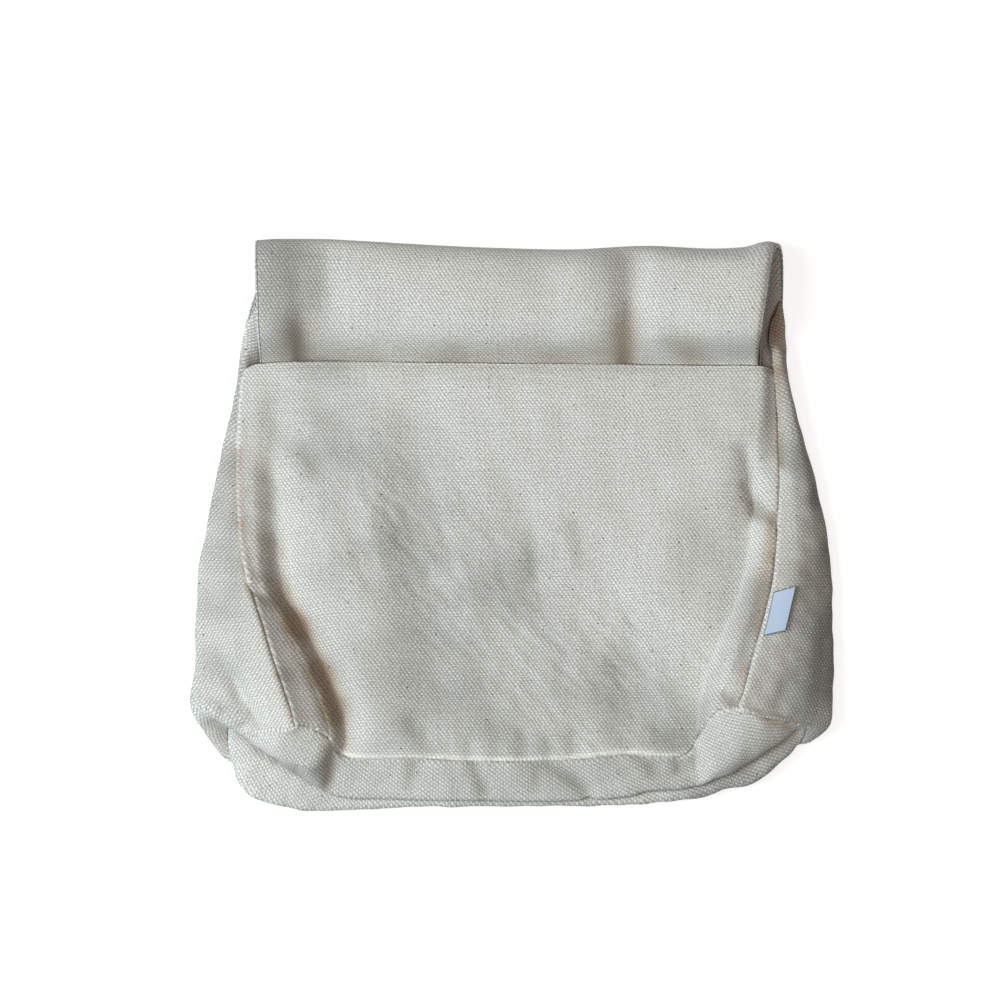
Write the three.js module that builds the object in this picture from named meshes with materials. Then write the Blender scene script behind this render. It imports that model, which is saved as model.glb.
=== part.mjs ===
// A canvas pouch lying on its back, with its flap folded over and tucked into the mouth.
// Millimetres. +X runs across the pouch, +Y from its bottom to its fold, +Z up from the table it lies on.
import * as THREE from "three";

// Cloth, seams and colours
const CLOTH = 1.4;
const HALF_CLOTH = CLOTH / 2;
const SEAM_INSET = 0.9;
const END_INSET = 0.85;
const LAP_GAP = 0.5;
const LAP_INSET = 0.2;
const LAP_Z = CLOTH + LAP_GAP + HALF_CLOTH;
const BACK_Z = HALF_CLOTH;
const CORNER_PART = 0.5;
const CANVAS = 0xd8d3c6;
const TAPE_WHITE = 0xe9edf2;

// Grid of each piece: steps across and down, or the length of a step and the count around a section
const FRONT_GRID = { across: 44, down: 24, crowd: 0.5 };
const GUSSET_GRID = { step: 8, round: 13 };
const BOTTOM_GRID = { step: 6.5, round: 11 };
const STRIP_GRID = { across: 18, step: 4.5, lying: [0, 0.12, 0.3, 0.5, 0.7, 0.86] };
const LABEL_GRID = { along: 3, out: 4 };
const MOST_TRIM = 0.5;

// A table of numbers under named columns, one row for each section, station or fold
function table(columns, rows) {
  const names = columns.split(" ");
  return rows.map((row) => Object.fromEntries(names.map((name, i) => [name, row[i]])));
}

// Front panel: height of its middle at each station from the mouth down
const MIDDLE = table("y z", [
  [53, 8.8],
  [40, 8.6],
  [20, 7.6],
  [0, 6.6],
  [-25, 6.4],
  [-50, 7.8],
  [-70, 10.8],
  [-80, 12.2],
]);

// Front side seams: place and height of the seam, width of the ridge that stands beside it, width of the fall
// from that ridge to the middle, depth of the valley at its foot, and how far the ridge drops to its crest.
// The last row runs the ridge on past the corner.
const SEAM_COLUMNS = "y x z ridge fall valley drop";
const LEFT_SEAM = table(SEAM_COLUMNS, [
  [50, -89.4, 8.8, 3, 10, 0, 0.2],
  [31, -91.0, 9.4, 3.4, 9.6, 0.7, 0.4],
  [14, -91.2, 10.8, 4, 9, 2.0, 0.8],
  [-2, -90.7, 12.4, 4, 8.8, 2.6, 1.4],
  [-12, -89.3, 13.4, 3.6, 8.4, 2.7, 1.4],
  [-21, -87.0, 14.4, 3.2, 7.4, 2.8, 1.6],
  [-33, -82.8, 16.4, 6.2, 6.8, 3.0, 3.8],
  [-50, -77.2, 18.8, 9.2, 6.8, 3.2, 6.2],
  [-58, -74.4, 20.0, 10, 6.8, 3.0, 6.6],
  [-66.7, -71.8, 21.2, 10.4, 6.4, 2.4, 6.6],
  [-72, -70.9, 20.8, 10.2, 6.0, 1.6, 6.2],
  [-79, -69.7, 18.8, 5, 5.6, 0.8, 3.4],
]);
const RIGHT_SEAM = table(SEAM_COLUMNS, [
  [50, 86.4, 6.9, 0.4, 4.2, 0, 0.4],
  [34, 87.3, 5.8, 0.5, 6, 0, 0.4],
  [14, 87.8, 8.0, 2, 7, 0.6, 0],
  [2, 87.4, 10.0, 3, 6.4, 1.2, 0.2],
  [-6, 86.9, 10.8, 3, 6.4, 1.1, 0.6],
  [-22, 84.8, 12.4, 3.5, 7, 0.8, 0.9],
  [-38.6, 80.4, 14.8, 4.5, 8.4, 0.6, 1.3],
  [-48.5, 77.6, 16.6, 5.4, 8.6, 0.6, 2.0],
  [-60.7, 74.4, 19.0, 6.4, 7.2, 0.8, 2.8],
  [-68, 72.6, 19.0, 6.0, 6.2, 0.6, 2.8],
  [-73, 71.5, 18.6, 5.0, 6, 0.5, 2.6],
  [-79, 70.3, 17.4, 4, 6, 0.4, 2.2],
]);
const VALLEY_HALF = 5.5;
const SEAM_TOP_Y = 50;

// Front panel: its turned top edge, which is the front of the mouth
const MOUTH_EDGE = table("x y", [
  [-89.4, 50.0],
  [-87.0, 52.0],
  [-83.0, 52.9],
  [-60.0, 53.4],
  [0.0, 52.8],
  [60.0, 52.2],
  [82.0, 51.9],
  [84.6, 51.2],
  [86.4, 50.0],
]);
const FRONT_DEPTH = 120;
const FRONT_FOOT_Y = -79;

// Soft folds: from one point to another, half width, and rise, which below zero makes a trough
const FOLD_COLUMNS = "x0 y0 x1 y1 half rise";
const FRONT_FOLDS = table(FOLD_COLUMNS, [
  [-68, 24, -62, -8, 9, 2.2],
  [-60, -14, -50, -62, 9, 2.0],
  [-79, 36, -64, 18, 5, -1.4],
  [-46, 34, -48, 0, 9, 1.2],
  [-46, -6, -40, -64, 10, 1.6],
  [-50, -10, -46, -60, 32, 2.0],
  [-30, 30, -28, -60, 12, -1.0],
  [4, 6, 7, -20, 6, -0.9],
  [66, 16, 46, -16, 12, 1.6],
  [60, -26, 74, -50, 16, 2.4],
  [38, -46, 42, -64, 9, -1.8],
  [76.6, 24, 81, 4, 3.2, -1.4],
  [-10, 44, 40, 44, 16, 0.8],
]);
const FOLD_FADE = 9;
const FLAP_FOLDS = table(FOLD_COLUMNS, [
  [-86, 84, -86, 60, 13, 3.0],
  [-62, 86, -62, 54, 8, -1.8],
  [-71, 64, -70, 52, 5, -1.2],
  [-14, 84, -10, 60, 26, 1.6],
  [22, 86, 22, 60, 9, 1.5],
  [38.5, 88, 38.5, 52, 5.5, -2.4],
  [84, 84, 84, 58, 36, 7.2],
  [91, 84, 89, 58, 5, -5.0],
]);
const GUSSET_FOLDS = table(FOLD_COLUMNS, [
  [-97.5, -43, -91, -58, 3.0, -2.5],
  [-91.5, -51, -85, -64, 2.8, -2.6],
  [-99, -26, -97, -40, 5, 0.9],
  [97, -38, 90, -58, 6, -0.9],
]);

// Side gussets: a row for each section down the seam. tuck is how far the edge sits under the front panel,
// side is the outermost fold, low lies under that fold, back is the edge on the back panel, and puff rounds
// the cloth out between seam and side.
const GUSSET_COLUMNS = "seamY tuck sideX sideY sideZ lowX lowY backX backY puff";
const LEFT_GUSSET = table(GUSSET_COLUMNS, [
  [51.2, 5.0, -84.6, 60, 4.8, -84.2, 64, -86.4, 70, 0.2],
  [50.5, 2.0, -89.0, 57, 6.0, -89.0, 62, -88.0, 66, 0.5],
  [40, 2.4, -92.2, 41, 6.2, -90.6, 42, -88.0, 43, 0.8],
  [22, 2.4, -96.9, 22, 7.0, -93.2, 22, -88.0, 22, 0.9],
  [2, 1.3, -100.7, 2, 8.0, -95.4, 2, -88.6, 2, 1.1],
  [-16, 0.3, -104.2, -16, 9.0, -98.0, -16, -89.0, -16, 1.4],
  [-34, -0.3, -105.2, -34, 9.8, -98.8, -35, -89.5, -36, 1.4],
  [-48, -0.4, -105.2, -48.5, 10.2, -99.0, -51, -90.0, -53, 1.3],
  [-57, -0.3, -106.6, -59.5, 10.4, -100.2, -65, -90.2, -66, 1.0],
  [-62.5, -0.1, -103.8, -65, 10.6, -100.2, -71.5, -90.4, -74, 0.5],
  [-65.2, 0, -98.2, -67, 11.2, -96.8, -76.4, -90.5, -79, 0.3],
]);
const RIGHT_GUSSET = table(GUSSET_COLUMNS, [
  [51.6, 0.4, 84.9, 60, 4.6, 85.4, 66, 88.0, 74, 0.2],
  [50.6, 0.3, 87.6, 60, 5.6, 88.8, 67, 88.4, 72.5, 1.0],
  [40, 0.2, 92.3, 41, 4.8, 91.0, 43, 88.4, 45, 2.0],
  [22, 0.2, 97.6, 22, 4.0, 93.8, 22, 88.6, 22, 2.2],
  [2, 0.2, 102.6, 2, 3.8, 96.6, 2, 89.0, 2, 2.0],
  [-16, -0.2, 105.2, -16, 3.8, 98.6, -16, 89.6, -16, 1.9],
  [-32, -0.3, 105.8, -33, 3.8, 99.2, -34, 90.0, -35, 2.0],
  [-46, -0.3, 106.2, -48, 4.2, 99.6, -50, 90.5, -51, 1.9],
  [-54, -0.2, 105.6, -59, 5.2, 100.6, -62, 90.8, -62, 1.4],
  [-58, 0, 104.8, -65.6, 6.4, 101.6, -69.4, 91.0, -69, 0.6],
  [-59.8, 0, 101.4, -66.8, 8.4, 98.2, -72.2, 91.1, -72.4, 0.3],
]);
const GUSSET_FORM = { brow: 0.34, cheek: 0.7, outward: 0.55, low: 0.62, tuckIn: 0.8 };
const FOLDS_FROM = 0.16;
const FOLDS_TO = 0.5;

// End seams of gusset and bottom panel: from the standing front corner, past the pinch, to the back corner
const LEFT_END = table("x y z", [
  [-71.8, -66.7, 21.2],
  [-80.2, -68.8, 19.4],
  [-88.2, -69.4, 15.6],
  [-93.2, -67.6, 11.4],
  [-93.8, -75.0, 6.6],
  [-90.6, -81.8, LAP_Z],
]);
const RIGHT_END = table("x y z", [
  [74.4, -60.7, 19.0],
  [81.0, -63.9, 17.8],
  [89.6, -65.2, 14.0],
  [96.2, -66.6, 9.8],
  [95.4, -71.2, 6.4],
  [91.2, -74.8, LAP_Z],
]);

// Bottom panel: a row for each section from left to right. seam is its front edge, puff rounds out its front
// half, valley is the crease that folds it in two along its length, rear is the swell of its rear half.
const BOTTOM = table("seamX seamY puff valleyX valleyY valleyZ rearX rearY rearZ", [
  [-66.8, -67.2, 4.0, -83.0, -75.8, 8.6, -89.0, -88.6, 6.4],
  [-61.0, -71.0, 4.6, -64.6, -86.4, 7.4, -71.4, -94.6, 6.0],
  [-59.0, -75.0, 0.8, -61.0, -88.6, 6.4, -63.8, -95.2, 5.8],
  [-54.0, -77.4, 0.8, -55.4, -90.0, 6.4, -56.4, -94.9, 5.8],
  [-30.0, -77.8, 1.5, -30.0, -90.7, 6.6, -30.0, -93.8, 5.8],
  [-10.0, -78.6, 1.6, -10.0, -90.9, 6.6, -10.0, -93.6, 5.8],
  [15.0, -78.4, 1.6, 15.0, -91.0, 6.6, 15.0, -93.4, 5.8],
  [37.0, -76.4, 1.6, 37.0, -89.4, 6.6, 37.0, -93.1, 5.8],
  [54.5, -77.2, 0.8, 54.0, -87.0, 6.6, 55.0, -91.6, 5.8],
  [58.8, -74.8, 0.6, 62.5, -85.6, 6.8, 64.0, -90.2, 5.8],
  [60.4, -71.4, 4.8, 67.0, -83.6, 7.2, 69.5, -88.2, 5.8],
  [62.8, -67.6, 5.6, 75.0, -79.6, 7.8, 78.0, -86.6, 6.0],
  [67.4, -61.9, 4.8, 88.0, -71.2, 9.0, 90.6, -77.2, 6.0],
]);
const BOTTOM_FORM = { swellAt: 0.5, swellLift: 0.8, lipRise: 2.4, lipOut: 0.2, creaseIn: 2.4, backIn: 2.4 };

// Back panel and flap: a row for each station of the strip, from the lying part over the fold into the mouth.
// left and right are its edges, and wave is how much of the fold line's unevenness the station takes up.
const STRIP = table("y z left right wave", [
  [78, BACK_Z, -85.0, 89.4, 0],
  [83.5, BACK_Z, -85.0, 89.4, 0.5],
  [88, 1.6, -85.2, 89.2, 0.9],
  [90.9, 4.6, -85.4, 88.4, 1],
  [90.2, 8.0, -85.4, 86.8, 1],
  [86.4, 11.0, -85.3, 85.7, 0.7],
  [80, 13.2, -85.1, 84.5, 0.3],
  [73, 14.1, -84.8, 83.6, 0.1],
  [67, 13.7, -84.6, 82.7, 0],
  [62.5, 12.2, -84.4, 82.2, 0],
  [59, 10.2, -84.2, 82.0, 0],
  [56, 8.3, -84.0, 82.0, 0],
  [53, 6.8, -83.9, 82.0, 0],
  [46, 5.3, -83.5, 81.6, 0],
  [34, 3.9, -83.1, 81.0, 0],
  [20, 3.2, -82.8, 80.4, 0],
]);
const FOLD_LINE = table("x dy", [
  [-86, 1.7],
  [-78, 2.2],
  [-66, 2.2],
  [-50, 1.5],
  [-30, 0.3],
  [-8, -0.7],
  [17, -1.3],
  [44, -0.1],
  [66, -1.0],
  [76, -0.5],
  [84, 1.4],
  [89, 0.2],
]);
// Folds of the flap begin at a share of the strip, and those that rise die out where it enters the mouth
const FLAP_START = { share: 0.2, run: 0.14 };
const FLAP_FADE = { fromY: 53, run: 10 };
const BACK_MARGIN = 0.8;

// Label tape in the right front seam: rows are counted along the gusset's sections, reach along a section
const LABEL_ROWS = { top: 5.42, foot: 6.36, skew: 0.13, probe: 0.05 };
const LABEL = { reach: 0.75, width: 6.7, thick: 1, gap: 0.35, lift: 0.12, probe: 0.5 };

const clamp = (v, low, high) => Math.min(high, Math.max(low, v));
const mix = (a, b, t) => a + (b - a) * t;

function smooth(t) {
  const c = clamp(t, 0, 1);
  return c * c * (3 - 2 * c);
}

// Value of a column at a key, by a cubic through the rows that never overshoots them
function column(rows, key, name, k) {
  const up = rows[0][key] < rows[rows.length - 1][key];
  const sorted = up ? rows : [...rows].reverse();
  const last = sorted.length - 1;
  const v = clamp(k, sorted[0][key], sorted[last][key]);
  let i = 0;
  while (i < last - 1 && v > sorted[i + 1][key]) i++;
  const slope = (j) => (sorted[j + 1][name] - sorted[j][name]) / (sorted[j + 1][key] - sorted[j][key]);
  const tangent = (j) => {
    if (j === 0) return slope(0);
    if (j === last) return slope(last - 1);
    const a = slope(j - 1);
    const b = slope(j);
    return a * b <= 0 ? 0 : (2 * a * b) / (a + b);
  };
  const span = sorted[i + 1][key] - sorted[i][key];
  const t = (v - sorted[i][key]) / span;
  const t2 = t * t;
  const t3 = t2 * t;
  const from = sorted[i][name] * (2 * t3 - 3 * t2 + 1) + tangent(i) * span * (t3 - 2 * t2 + t);
  return from + sorted[i + 1][name] * (3 * t2 - 2 * t3) + tangent(i + 1) * span * (t3 - t2);
}

// Rise that a table of soft folds gives at a place: each fold dies away with the distance from its line
function foldRise(folds, x, y) {
  let rise = 0;
  for (const f of folds) {
    const dx = f.x1 - f.x0;
    const dy = f.y1 - f.y0;
    const t = clamp(((x - f.x0) * dx + (y - f.y0) * dy) / (dx * dx + dy * dy), 0, 1);
    const away = Math.hypot(x - f.x0 - t * dx, y - f.y0 - t * dy);
    rise += f.rise * Math.exp(-((away / f.half) ** 2));
  }
  return rise;
}

// What the ridge and valley beside one side seam add to the front panel's middle height
function seamRise(seam, side, x, y, middle) {
  const away = Math.max(0, side * (column(seam, "y", "x", y) - x));
  const ridge = column(seam, "y", "ridge", y);
  const fall = column(seam, "y", "fall", y);
  const crest = column(seam, "y", "z", y) - column(seam, "y", "drop", y) * clamp(away / ridge, 0, 1);
  const stand = (crest - middle) * (1 - smooth((away - ridge) / fall));
  const foot = (away - ridge - fall) / VALLEY_HALF;
  return stand - column(seam, "y", "valley", y) * Math.exp(-foot * foot);
}

// Point of the front panel above a place
function frontPoint(x, y) {
  const middle = column(MIDDLE, "y", "z", y);
  const ridges = seamRise(LEFT_SEAM, -1, x, y, middle) + seamRise(RIGHT_SEAM, 1, x, y, middle);
  const fromLeft = x - column(LEFT_SEAM, "y", "x", y);
  const fromRight = column(RIGHT_SEAM, "y", "x", y) - x;
  const fromMouth = column(MOUTH_EDGE, "x", "y", x) - y;
  const edge = Math.min(fromLeft, fromRight, fromMouth, y - FRONT_FOOT_Y);
  const z = middle + ridges + foldRise(FRONT_FOLDS, x, y) * smooth(edge / FOLD_FADE);
  return new THREE.Vector3(x, y, z);
}

const vector = (p) => new THREE.Vector3(p.x, p.y, p.z ?? 0);
const spline = (points) => new THREE.CatmullRomCurve3(points, false, "centripetal");

// Grid over sections, each a row of control points: smooth across every section and along them all.
// trim is how far the cloth stops short of the two ends of each section, and of the first and last section.
function loft(sections, { step, round }, trim) {
  const across = sections.map((section) => {
    const curve = spline(section);
    const length = curve.getLength();
    const share = (j) => mix(trim.near / length, 1 - trim.far / length, j / round);
    return Array.from({ length: round + 1 }, (_, j) => curve.getPointAt(share(j)));
  });
  const rails = Array.from({ length: round + 1 }, (_, j) => spline(across.map((row) => row[j])));
  const centre = Math.floor(round / 2);
  const last = across.length - 2;
  const stations = [];
  for (let row = 0; row <= last; row++) {
    const gap = across[row][centre].distanceTo(across[row + 1][centre]);
    const count = Math.max(1, Math.round(gap / step));
    for (let k = 0; k < count; k++) stations.push({ row, share: k / count });
  }
  stations.push({ row: last, share: 1 });
  return stations.map(({ row, share }) =>
    rails.map((rail, j) => {
      const gap = across[row][j].distanceTo(across[row + 1][j]);
      const low = row === 0 ? Math.min(MOST_TRIM, trim.first / gap) : 0;
      const high = row === last ? 1 - Math.min(MOST_TRIM, trim.last / gap) : 1;
      return rail.getPoint((row + mix(low, high, share)) / (last + 1));
    }),
  );
}

// Point on sections without any trim: row counts along them, reach is the distance from a section's start
function loftPoint(sections, row, reach) {
  const across = sections.map((section) => {
    const curve = spline(section);
    return curve.getPointAt(reach / curve.getLength());
  });
  return spline(across).getPoint(row / (sections.length - 1));
}

// Closed sheet of even thickness about a grid of points
function sheet(name, grid, thickness, colour) {
  const rows = grid.length;
  const cols = grid[0].length;
  const a = new THREE.Vector3();
  const b = new THREE.Vector3();
  const face = (sign) =>
    grid.map((row, i) =>
      row.map((p, j) => {
        a.subVectors(grid[Math.min(i + 1, rows - 1)][j], grid[Math.max(i - 1, 0)][j]);
        b.subVectors(row[Math.min(j + 1, cols - 1)], row[Math.max(j - 1, 0)]);
        return p.clone().addScaledVector(a.cross(b).normalize(), (sign * thickness) / 2);
      }),
    );
  const top = face(1);
  const under = face(-1);
  const points = [];
  const quad = (p, q, r, s) => points.push(p, q, r, p, r, s);
  for (let i = 0; i + 1 < rows; i++) {
    for (let j = 0; j + 1 < cols; j++) {
      quad(top[i][j], top[i + 1][j], top[i + 1][j + 1], top[i][j + 1]);
      quad(under[i][j], under[i][j + 1], under[i + 1][j + 1], under[i + 1][j]);
    }
    quad(top[i][0], under[i][0], under[i + 1][0], top[i + 1][0]);
    quad(top[i][cols - 1], top[i + 1][cols - 1], under[i + 1][cols - 1], under[i][cols - 1]);
  }
  for (let j = 0; j + 1 < cols; j++) {
    quad(top[0][j], top[0][j + 1], under[0][j + 1], under[0][j]);
    quad(top[rows - 1][j], under[rows - 1][j], under[rows - 1][j + 1], top[rows - 1][j + 1]);
  }
  const geometry = new THREE.BufferGeometry().setFromPoints(points);
  geometry.computeVertexNormals();
  const material = new THREE.MeshStandardMaterial({ color: colour, roughness: 0.9, metalness: 0 });
  const mesh = new THREE.Mesh(geometry, material);
  mesh.name = name;
  return mesh;
}

// Front to bottom seam, from corner to corner
const bottomSeam = spline([
  frontPoint(LEFT_END[0].x, LEFT_END[0].y),
  ...BOTTOM.map((r) => frontPoint(r.seamX, r.seamY)),
  frontPoint(RIGHT_END[0].x, RIGHT_END[0].y),
]);

// Front panel: a patch between its four edges in plan, raised to its height
function frontPanel() {
  const sideLine = (seam, corner) => (v) => {
    const y = mix(SEAM_TOP_Y, corner.y, v);
    return { x: column(seam, "y", "x", y), y };
  };
  const left = sideLine(LEFT_SEAM, LEFT_END[0]);
  const right = sideLine(RIGHT_SEAM, RIGHT_END[0]);
  const mouth = spline(MOUTH_EDGE.map(vector));
  const inset = SEAM_INSET / bottomSeam.getLength();
  const grid = [];
  for (let i = 0; i <= FRONT_GRID.down; i++) {
    const v = (i / FRONT_GRID.down) * (1 - SEAM_INSET / FRONT_DEPTH);
    const row = [];
    for (let j = 0; j <= FRONT_GRID.across; j++) {
      const even = j / FRONT_GRID.across;
      const crowded = even - (FRONT_GRID.crowd * Math.sin(2 * Math.PI * even)) / (2 * Math.PI);
      const u = mix(inset, 1 - inset, crowded);
      const top = mouth.getPointAt(u);
      const foot = bottomSeam.getPointAt(u);
      const place = (axis) => {
        const sides = mix(left(v)[axis], right(v)[axis], u);
        const ends = mix(top[axis], foot[axis], v);
        const corners = mix(mix(left(0)[axis], right(0)[axis], u), mix(left(1)[axis], right(1)[axis], u), v);
        return sides + ends - corners;
      };
      row.push(frontPoint(place("x"), place("y")));
    }
    grid.push(row);
  }
  return sheet("front_panel", grid, CLOTH, CANVAS);
}

// An end seam for one of its two cloths, which part a little where they come down on the back panel
function endSeam(end, part) {
  const points = end.map(vector);
  points[points.length - 1].y += part;
  return points;
}

// Sections of a gusset, from the mouth to its seam with the bottom panel
function gussetSections(rows, seam, end, side) {
  const sections = rows.map((r) => {
    const start = frontPoint(column(seam, "y", "x", r.seamY), r.seamY);
    start.x -= side * r.tuck * GUSSET_FORM.tuckIn;
    start.z -= r.tuck;
    const out = new THREE.Vector3(r.sideX - side * HALF_CLOTH, r.sideY, r.sideZ);
    const lowZ = mix(r.sideZ, LAP_Z, GUSSET_FORM.low);
    const low = new THREE.Vector3(r.lowX - side * HALF_CLOTH, r.lowY, lowZ);
    const back = new THREE.Vector3(r.backX, r.backY, LAP_Z);
    const round = new THREE.Vector3(side * r.puff * GUSSET_FORM.outward, 0, r.puff);
    const brow = start.clone().lerp(out, GUSSET_FORM.brow).add(round);
    const cheek = start.clone().lerp(out, GUSSET_FORM.cheek).add(round);
    return [start, brow, cheek, out, low, back];
  });
  return [...sections, endSeam(end, CORNER_PART)];
}

const leftSections = gussetSections(LEFT_GUSSET, LEFT_SEAM, LEFT_END, -1);
const rightSections = gussetSections(RIGHT_GUSSET, RIGHT_SEAM, RIGHT_END, 1);

// Gusset: lofted down its sections, with its soft folds in the half that faces up
function gusset(name, sections) {
  const trim = { near: SEAM_INSET, far: LAP_INSET, first: 0, last: END_INSET };
  const grid = loft(sections, GUSSET_GRID, trim);
  for (const row of grid) {
    row.forEach((p, j) => {
      const share = j / GUSSET_GRID.round;
      const upper = smooth(share / FOLDS_FROM) * smooth((FOLDS_TO - share) / (FOLDS_TO - FOLDS_FROM));
      p.z += upper * foldRise(GUSSET_FOLDS, p.x, p.y);
    });
  }
  return sheet(name, grid, CLOTH, CANVAS);
}

// Sections of the bottom panel, from its left end seam to its right one
function bottomSections() {
  const sections = BOTTOM.map((r) => {
    const seam = frontPoint(r.seamX, r.seamY);
    const valley = new THREE.Vector3(r.valleyX, r.valleyY, r.valleyZ);
    const rear = new THREE.Vector3(r.rearX, r.rearY, r.rearZ);
    const inward = new THREE.Vector3(valley.x - rear.x, valley.y - rear.y, 0).normalize();
    rear.addScaledVector(inward, HALF_CLOTH);
    const swell = seam.clone().lerp(valley, BOTTOM_FORM.swellAt).addScaledVector(inward, -r.puff);
    swell.z += r.puff * BOTTOM_FORM.swellLift;
    const lip = valley.clone().addScaledVector(inward, -BOTTOM_FORM.lipOut);
    lip.z += BOTTOM_FORM.lipRise;
    const crease = valley.clone().addScaledVector(inward, BOTTOM_FORM.creaseIn);
    const back = rear.clone().addScaledVector(inward, BOTTOM_FORM.backIn);
    back.z = LAP_Z;
    return [seam, swell, lip, crease, rear, back];
  });
  return [endSeam(LEFT_END, -CORNER_PART), ...sections, endSeam(RIGHT_END, -CORNER_PART)];
}

const panelSections = bottomSections();

function bottomPanel() {
  const trim = { near: SEAM_INSET, far: LAP_INSET, first: END_INSET, last: END_INSET };
  return sheet("bottom_panel", loft(panelSections, BOTTOM_GRID, trim), CLOTH, CANVAS);
}

// Back panel and flap in one strip: flat on the table, over the fold, and down into the mouth
function backPanel() {
  const backEdge = (sections, dx, dy) =>
    sections.map((section) => {
      const p = section[section.length - 1];
      return { x: p.x + dx, y: p.y + dy };
    });
  const hem = backEdge(panelSections, 0, -BACK_MARGIN);
  const leftEdge = backEdge(leftSections, -BACK_MARGIN, 0);
  const rightEdge = backEdge(rightSections, BACK_MARGIN, 0);
  const first = hem[0];
  const last = hem[hem.length - 1];
  const grid = [];
  const addRow = (place) => {
    grid.push(Array.from({ length: STRIP_GRID.across + 1 }, (_, j) => place(j / STRIP_GRID.across)));
  };
  for (const v of STRIP_GRID.lying) {
    addRow((w) => {
      const chord = mix(first.y, last.y, w);
      const swell = column(hem, "x", "y", mix(first.x, last.x, w)) - chord;
      const y = mix(chord, STRIP[0].y, v);
      const x = mix(column(leftEdge, "y", "x", y), column(rightEdge, "y", "x", y), w);
      return new THREE.Vector3(x, y + swell * (1 - v), BACK_Z);
    });
  }
  const path = spline(STRIP.map((r) => new THREE.Vector3(0, r.y, r.z)));
  const stations = STRIP.map((r, i) => ({ ...r, t: i / (STRIP.length - 1) }));
  const steps = Math.round(path.getLength() / STRIP_GRID.step);
  for (let i = 0; i <= steps; i++) {
    const t = path.getUtoTmapping(i / steps);
    const p = path.getPoint(t);
    const over = smooth((t - FLAP_START.share) / FLAP_START.run);
    const above = smooth((p.y - FLAP_FADE.fromY) / FLAP_FADE.run);
    addRow((w) => {
      const x = mix(column(stations, "t", "left", t), column(stations, "t", "right", t), w);
      const wave = column(stations, "t", "wave", t) * column(FOLD_LINE, "x", "dy", x);
      const rise = foldRise(FLAP_FOLDS, x, p.y);
      const z = Math.max(BACK_Z, p.z + over * rise * (rise > 0 ? above : 1));
      return new THREE.Vector3(x, p.y + wave, z);
    });
  }
  return sheet("back_panel_flap", grid, CLOTH, CANVAS);
}

// Label: a folded tape that stands out of the right seam, clear of the gusset below it
function label() {
  const grid = [];
  for (let i = 0; i <= LABEL_GRID.along; i++) {
    const row = [];
    for (let j = 0; j <= LABEL_GRID.out; j++) {
      const out = (j / LABEL_GRID.out) * LABEL.width;
      const skew = (j / LABEL_GRID.out) * LABEL_ROWS.skew;
      const station = mix(LABEL_ROWS.top, LABEL_ROWS.foot, i / LABEL_GRID.along) - skew;
      const p = loftPoint(rightSections, station, LABEL.reach + out);
      const down = loftPoint(rightSections, station + LABEL_ROWS.probe, LABEL.reach + out).sub(p);
      const away = loftPoint(rightSections, station, LABEL.reach + out + LABEL.probe).sub(p);
      const clear = HALF_CLOTH + LABEL.gap + LABEL.thick / 2 + out * LABEL.lift;
      row.push(p.addScaledVector(down.cross(away).normalize(), clear));
    }
    grid.push(row);
  }
  return sheet("label_tab", grid, LABEL.thick, TAPE_WHITE);
}

const pouch = new THREE.Group();
pouch.name = "canvas_pouch";
pouch.add(backPanel());
pouch.add(frontPanel());
pouch.add(gusset("gusset_left", leftSections));
pouch.add(gusset("gusset_right", rightSections));
pouch.add(bottomPanel());
pouch.add(label());

export default pouch;
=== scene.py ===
"""Dresses a canvas pouch that lies on its back: cloth on the folds of its panels, seams, label and studio.

Shapes are worked out in millimetres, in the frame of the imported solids: +X across the pouch, +Y from its
bottom to the fold of its flap, +Z up. A mesh is written in metres.
"""

import logging
from dataclasses import dataclass
from enum import Enum

import bpy
import numpy as np
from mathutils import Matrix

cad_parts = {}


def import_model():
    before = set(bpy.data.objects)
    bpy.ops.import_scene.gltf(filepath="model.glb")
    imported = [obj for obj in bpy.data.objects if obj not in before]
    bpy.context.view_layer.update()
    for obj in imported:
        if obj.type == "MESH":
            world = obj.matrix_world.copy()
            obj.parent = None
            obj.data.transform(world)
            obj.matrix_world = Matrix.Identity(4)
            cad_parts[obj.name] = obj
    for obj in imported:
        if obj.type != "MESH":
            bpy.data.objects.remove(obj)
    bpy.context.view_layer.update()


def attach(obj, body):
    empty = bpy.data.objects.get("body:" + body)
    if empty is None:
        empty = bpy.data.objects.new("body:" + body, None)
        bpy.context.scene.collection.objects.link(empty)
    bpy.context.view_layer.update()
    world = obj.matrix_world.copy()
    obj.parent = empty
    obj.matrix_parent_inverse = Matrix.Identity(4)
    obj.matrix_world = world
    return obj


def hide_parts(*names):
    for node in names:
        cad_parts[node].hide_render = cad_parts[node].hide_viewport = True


LOG = logging.getLogger("canvas_pouch")
Array = np.ndarray
Colour = tuple[float, float, float, float]
Socket = bpy.types.NodeSocket
MM = 0.001
TINY = 1e-9
BODY = "root"

# Cloth, its seams and its edges
CLOTH = 1.4
BACK_Z = CLOTH / 2
LAP_Z = 2.6
SEAM_INSET = 1.15
END_INSET = 1.05
BACK_INSET = 0.2
MOUTH_LIP = {"run": 3.2, "drop": 0.65, "thin": 0.82}
LIP = {"radius": 0.6, "turn": 1.3, "depth": 1.6, "even": 10, "steps": 4}
# Painted highlight: a pale band along the front's foot seam, where its edge catches the light
FOOT_SEAM_HIGHLIGHT = {"pale": 0.5, "half": 0.6, "to_x": 60, "run": 6}
# Painted shade in the troughs of creases: its share of grey, then of warm brown
CREASE_GREY_SHADE = 0.24
CREASE_WARM_SHADE = 0.14

# How finely curves, rims and flat cloth are worked out: rounds for every eighth, third and single point
CURVE_STEPS = 60
RIM_STEPS = 4
FLAT_ROUNDS = {8: 2500, 3: 500, 1: 120}
FLAT_PULL = 0.24


class Edge(Enum):
    """How a border of a cloth piece ends."""

    SEAM = "turned into a seam"
    FREE = "rounded over, as a turned hem"


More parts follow.
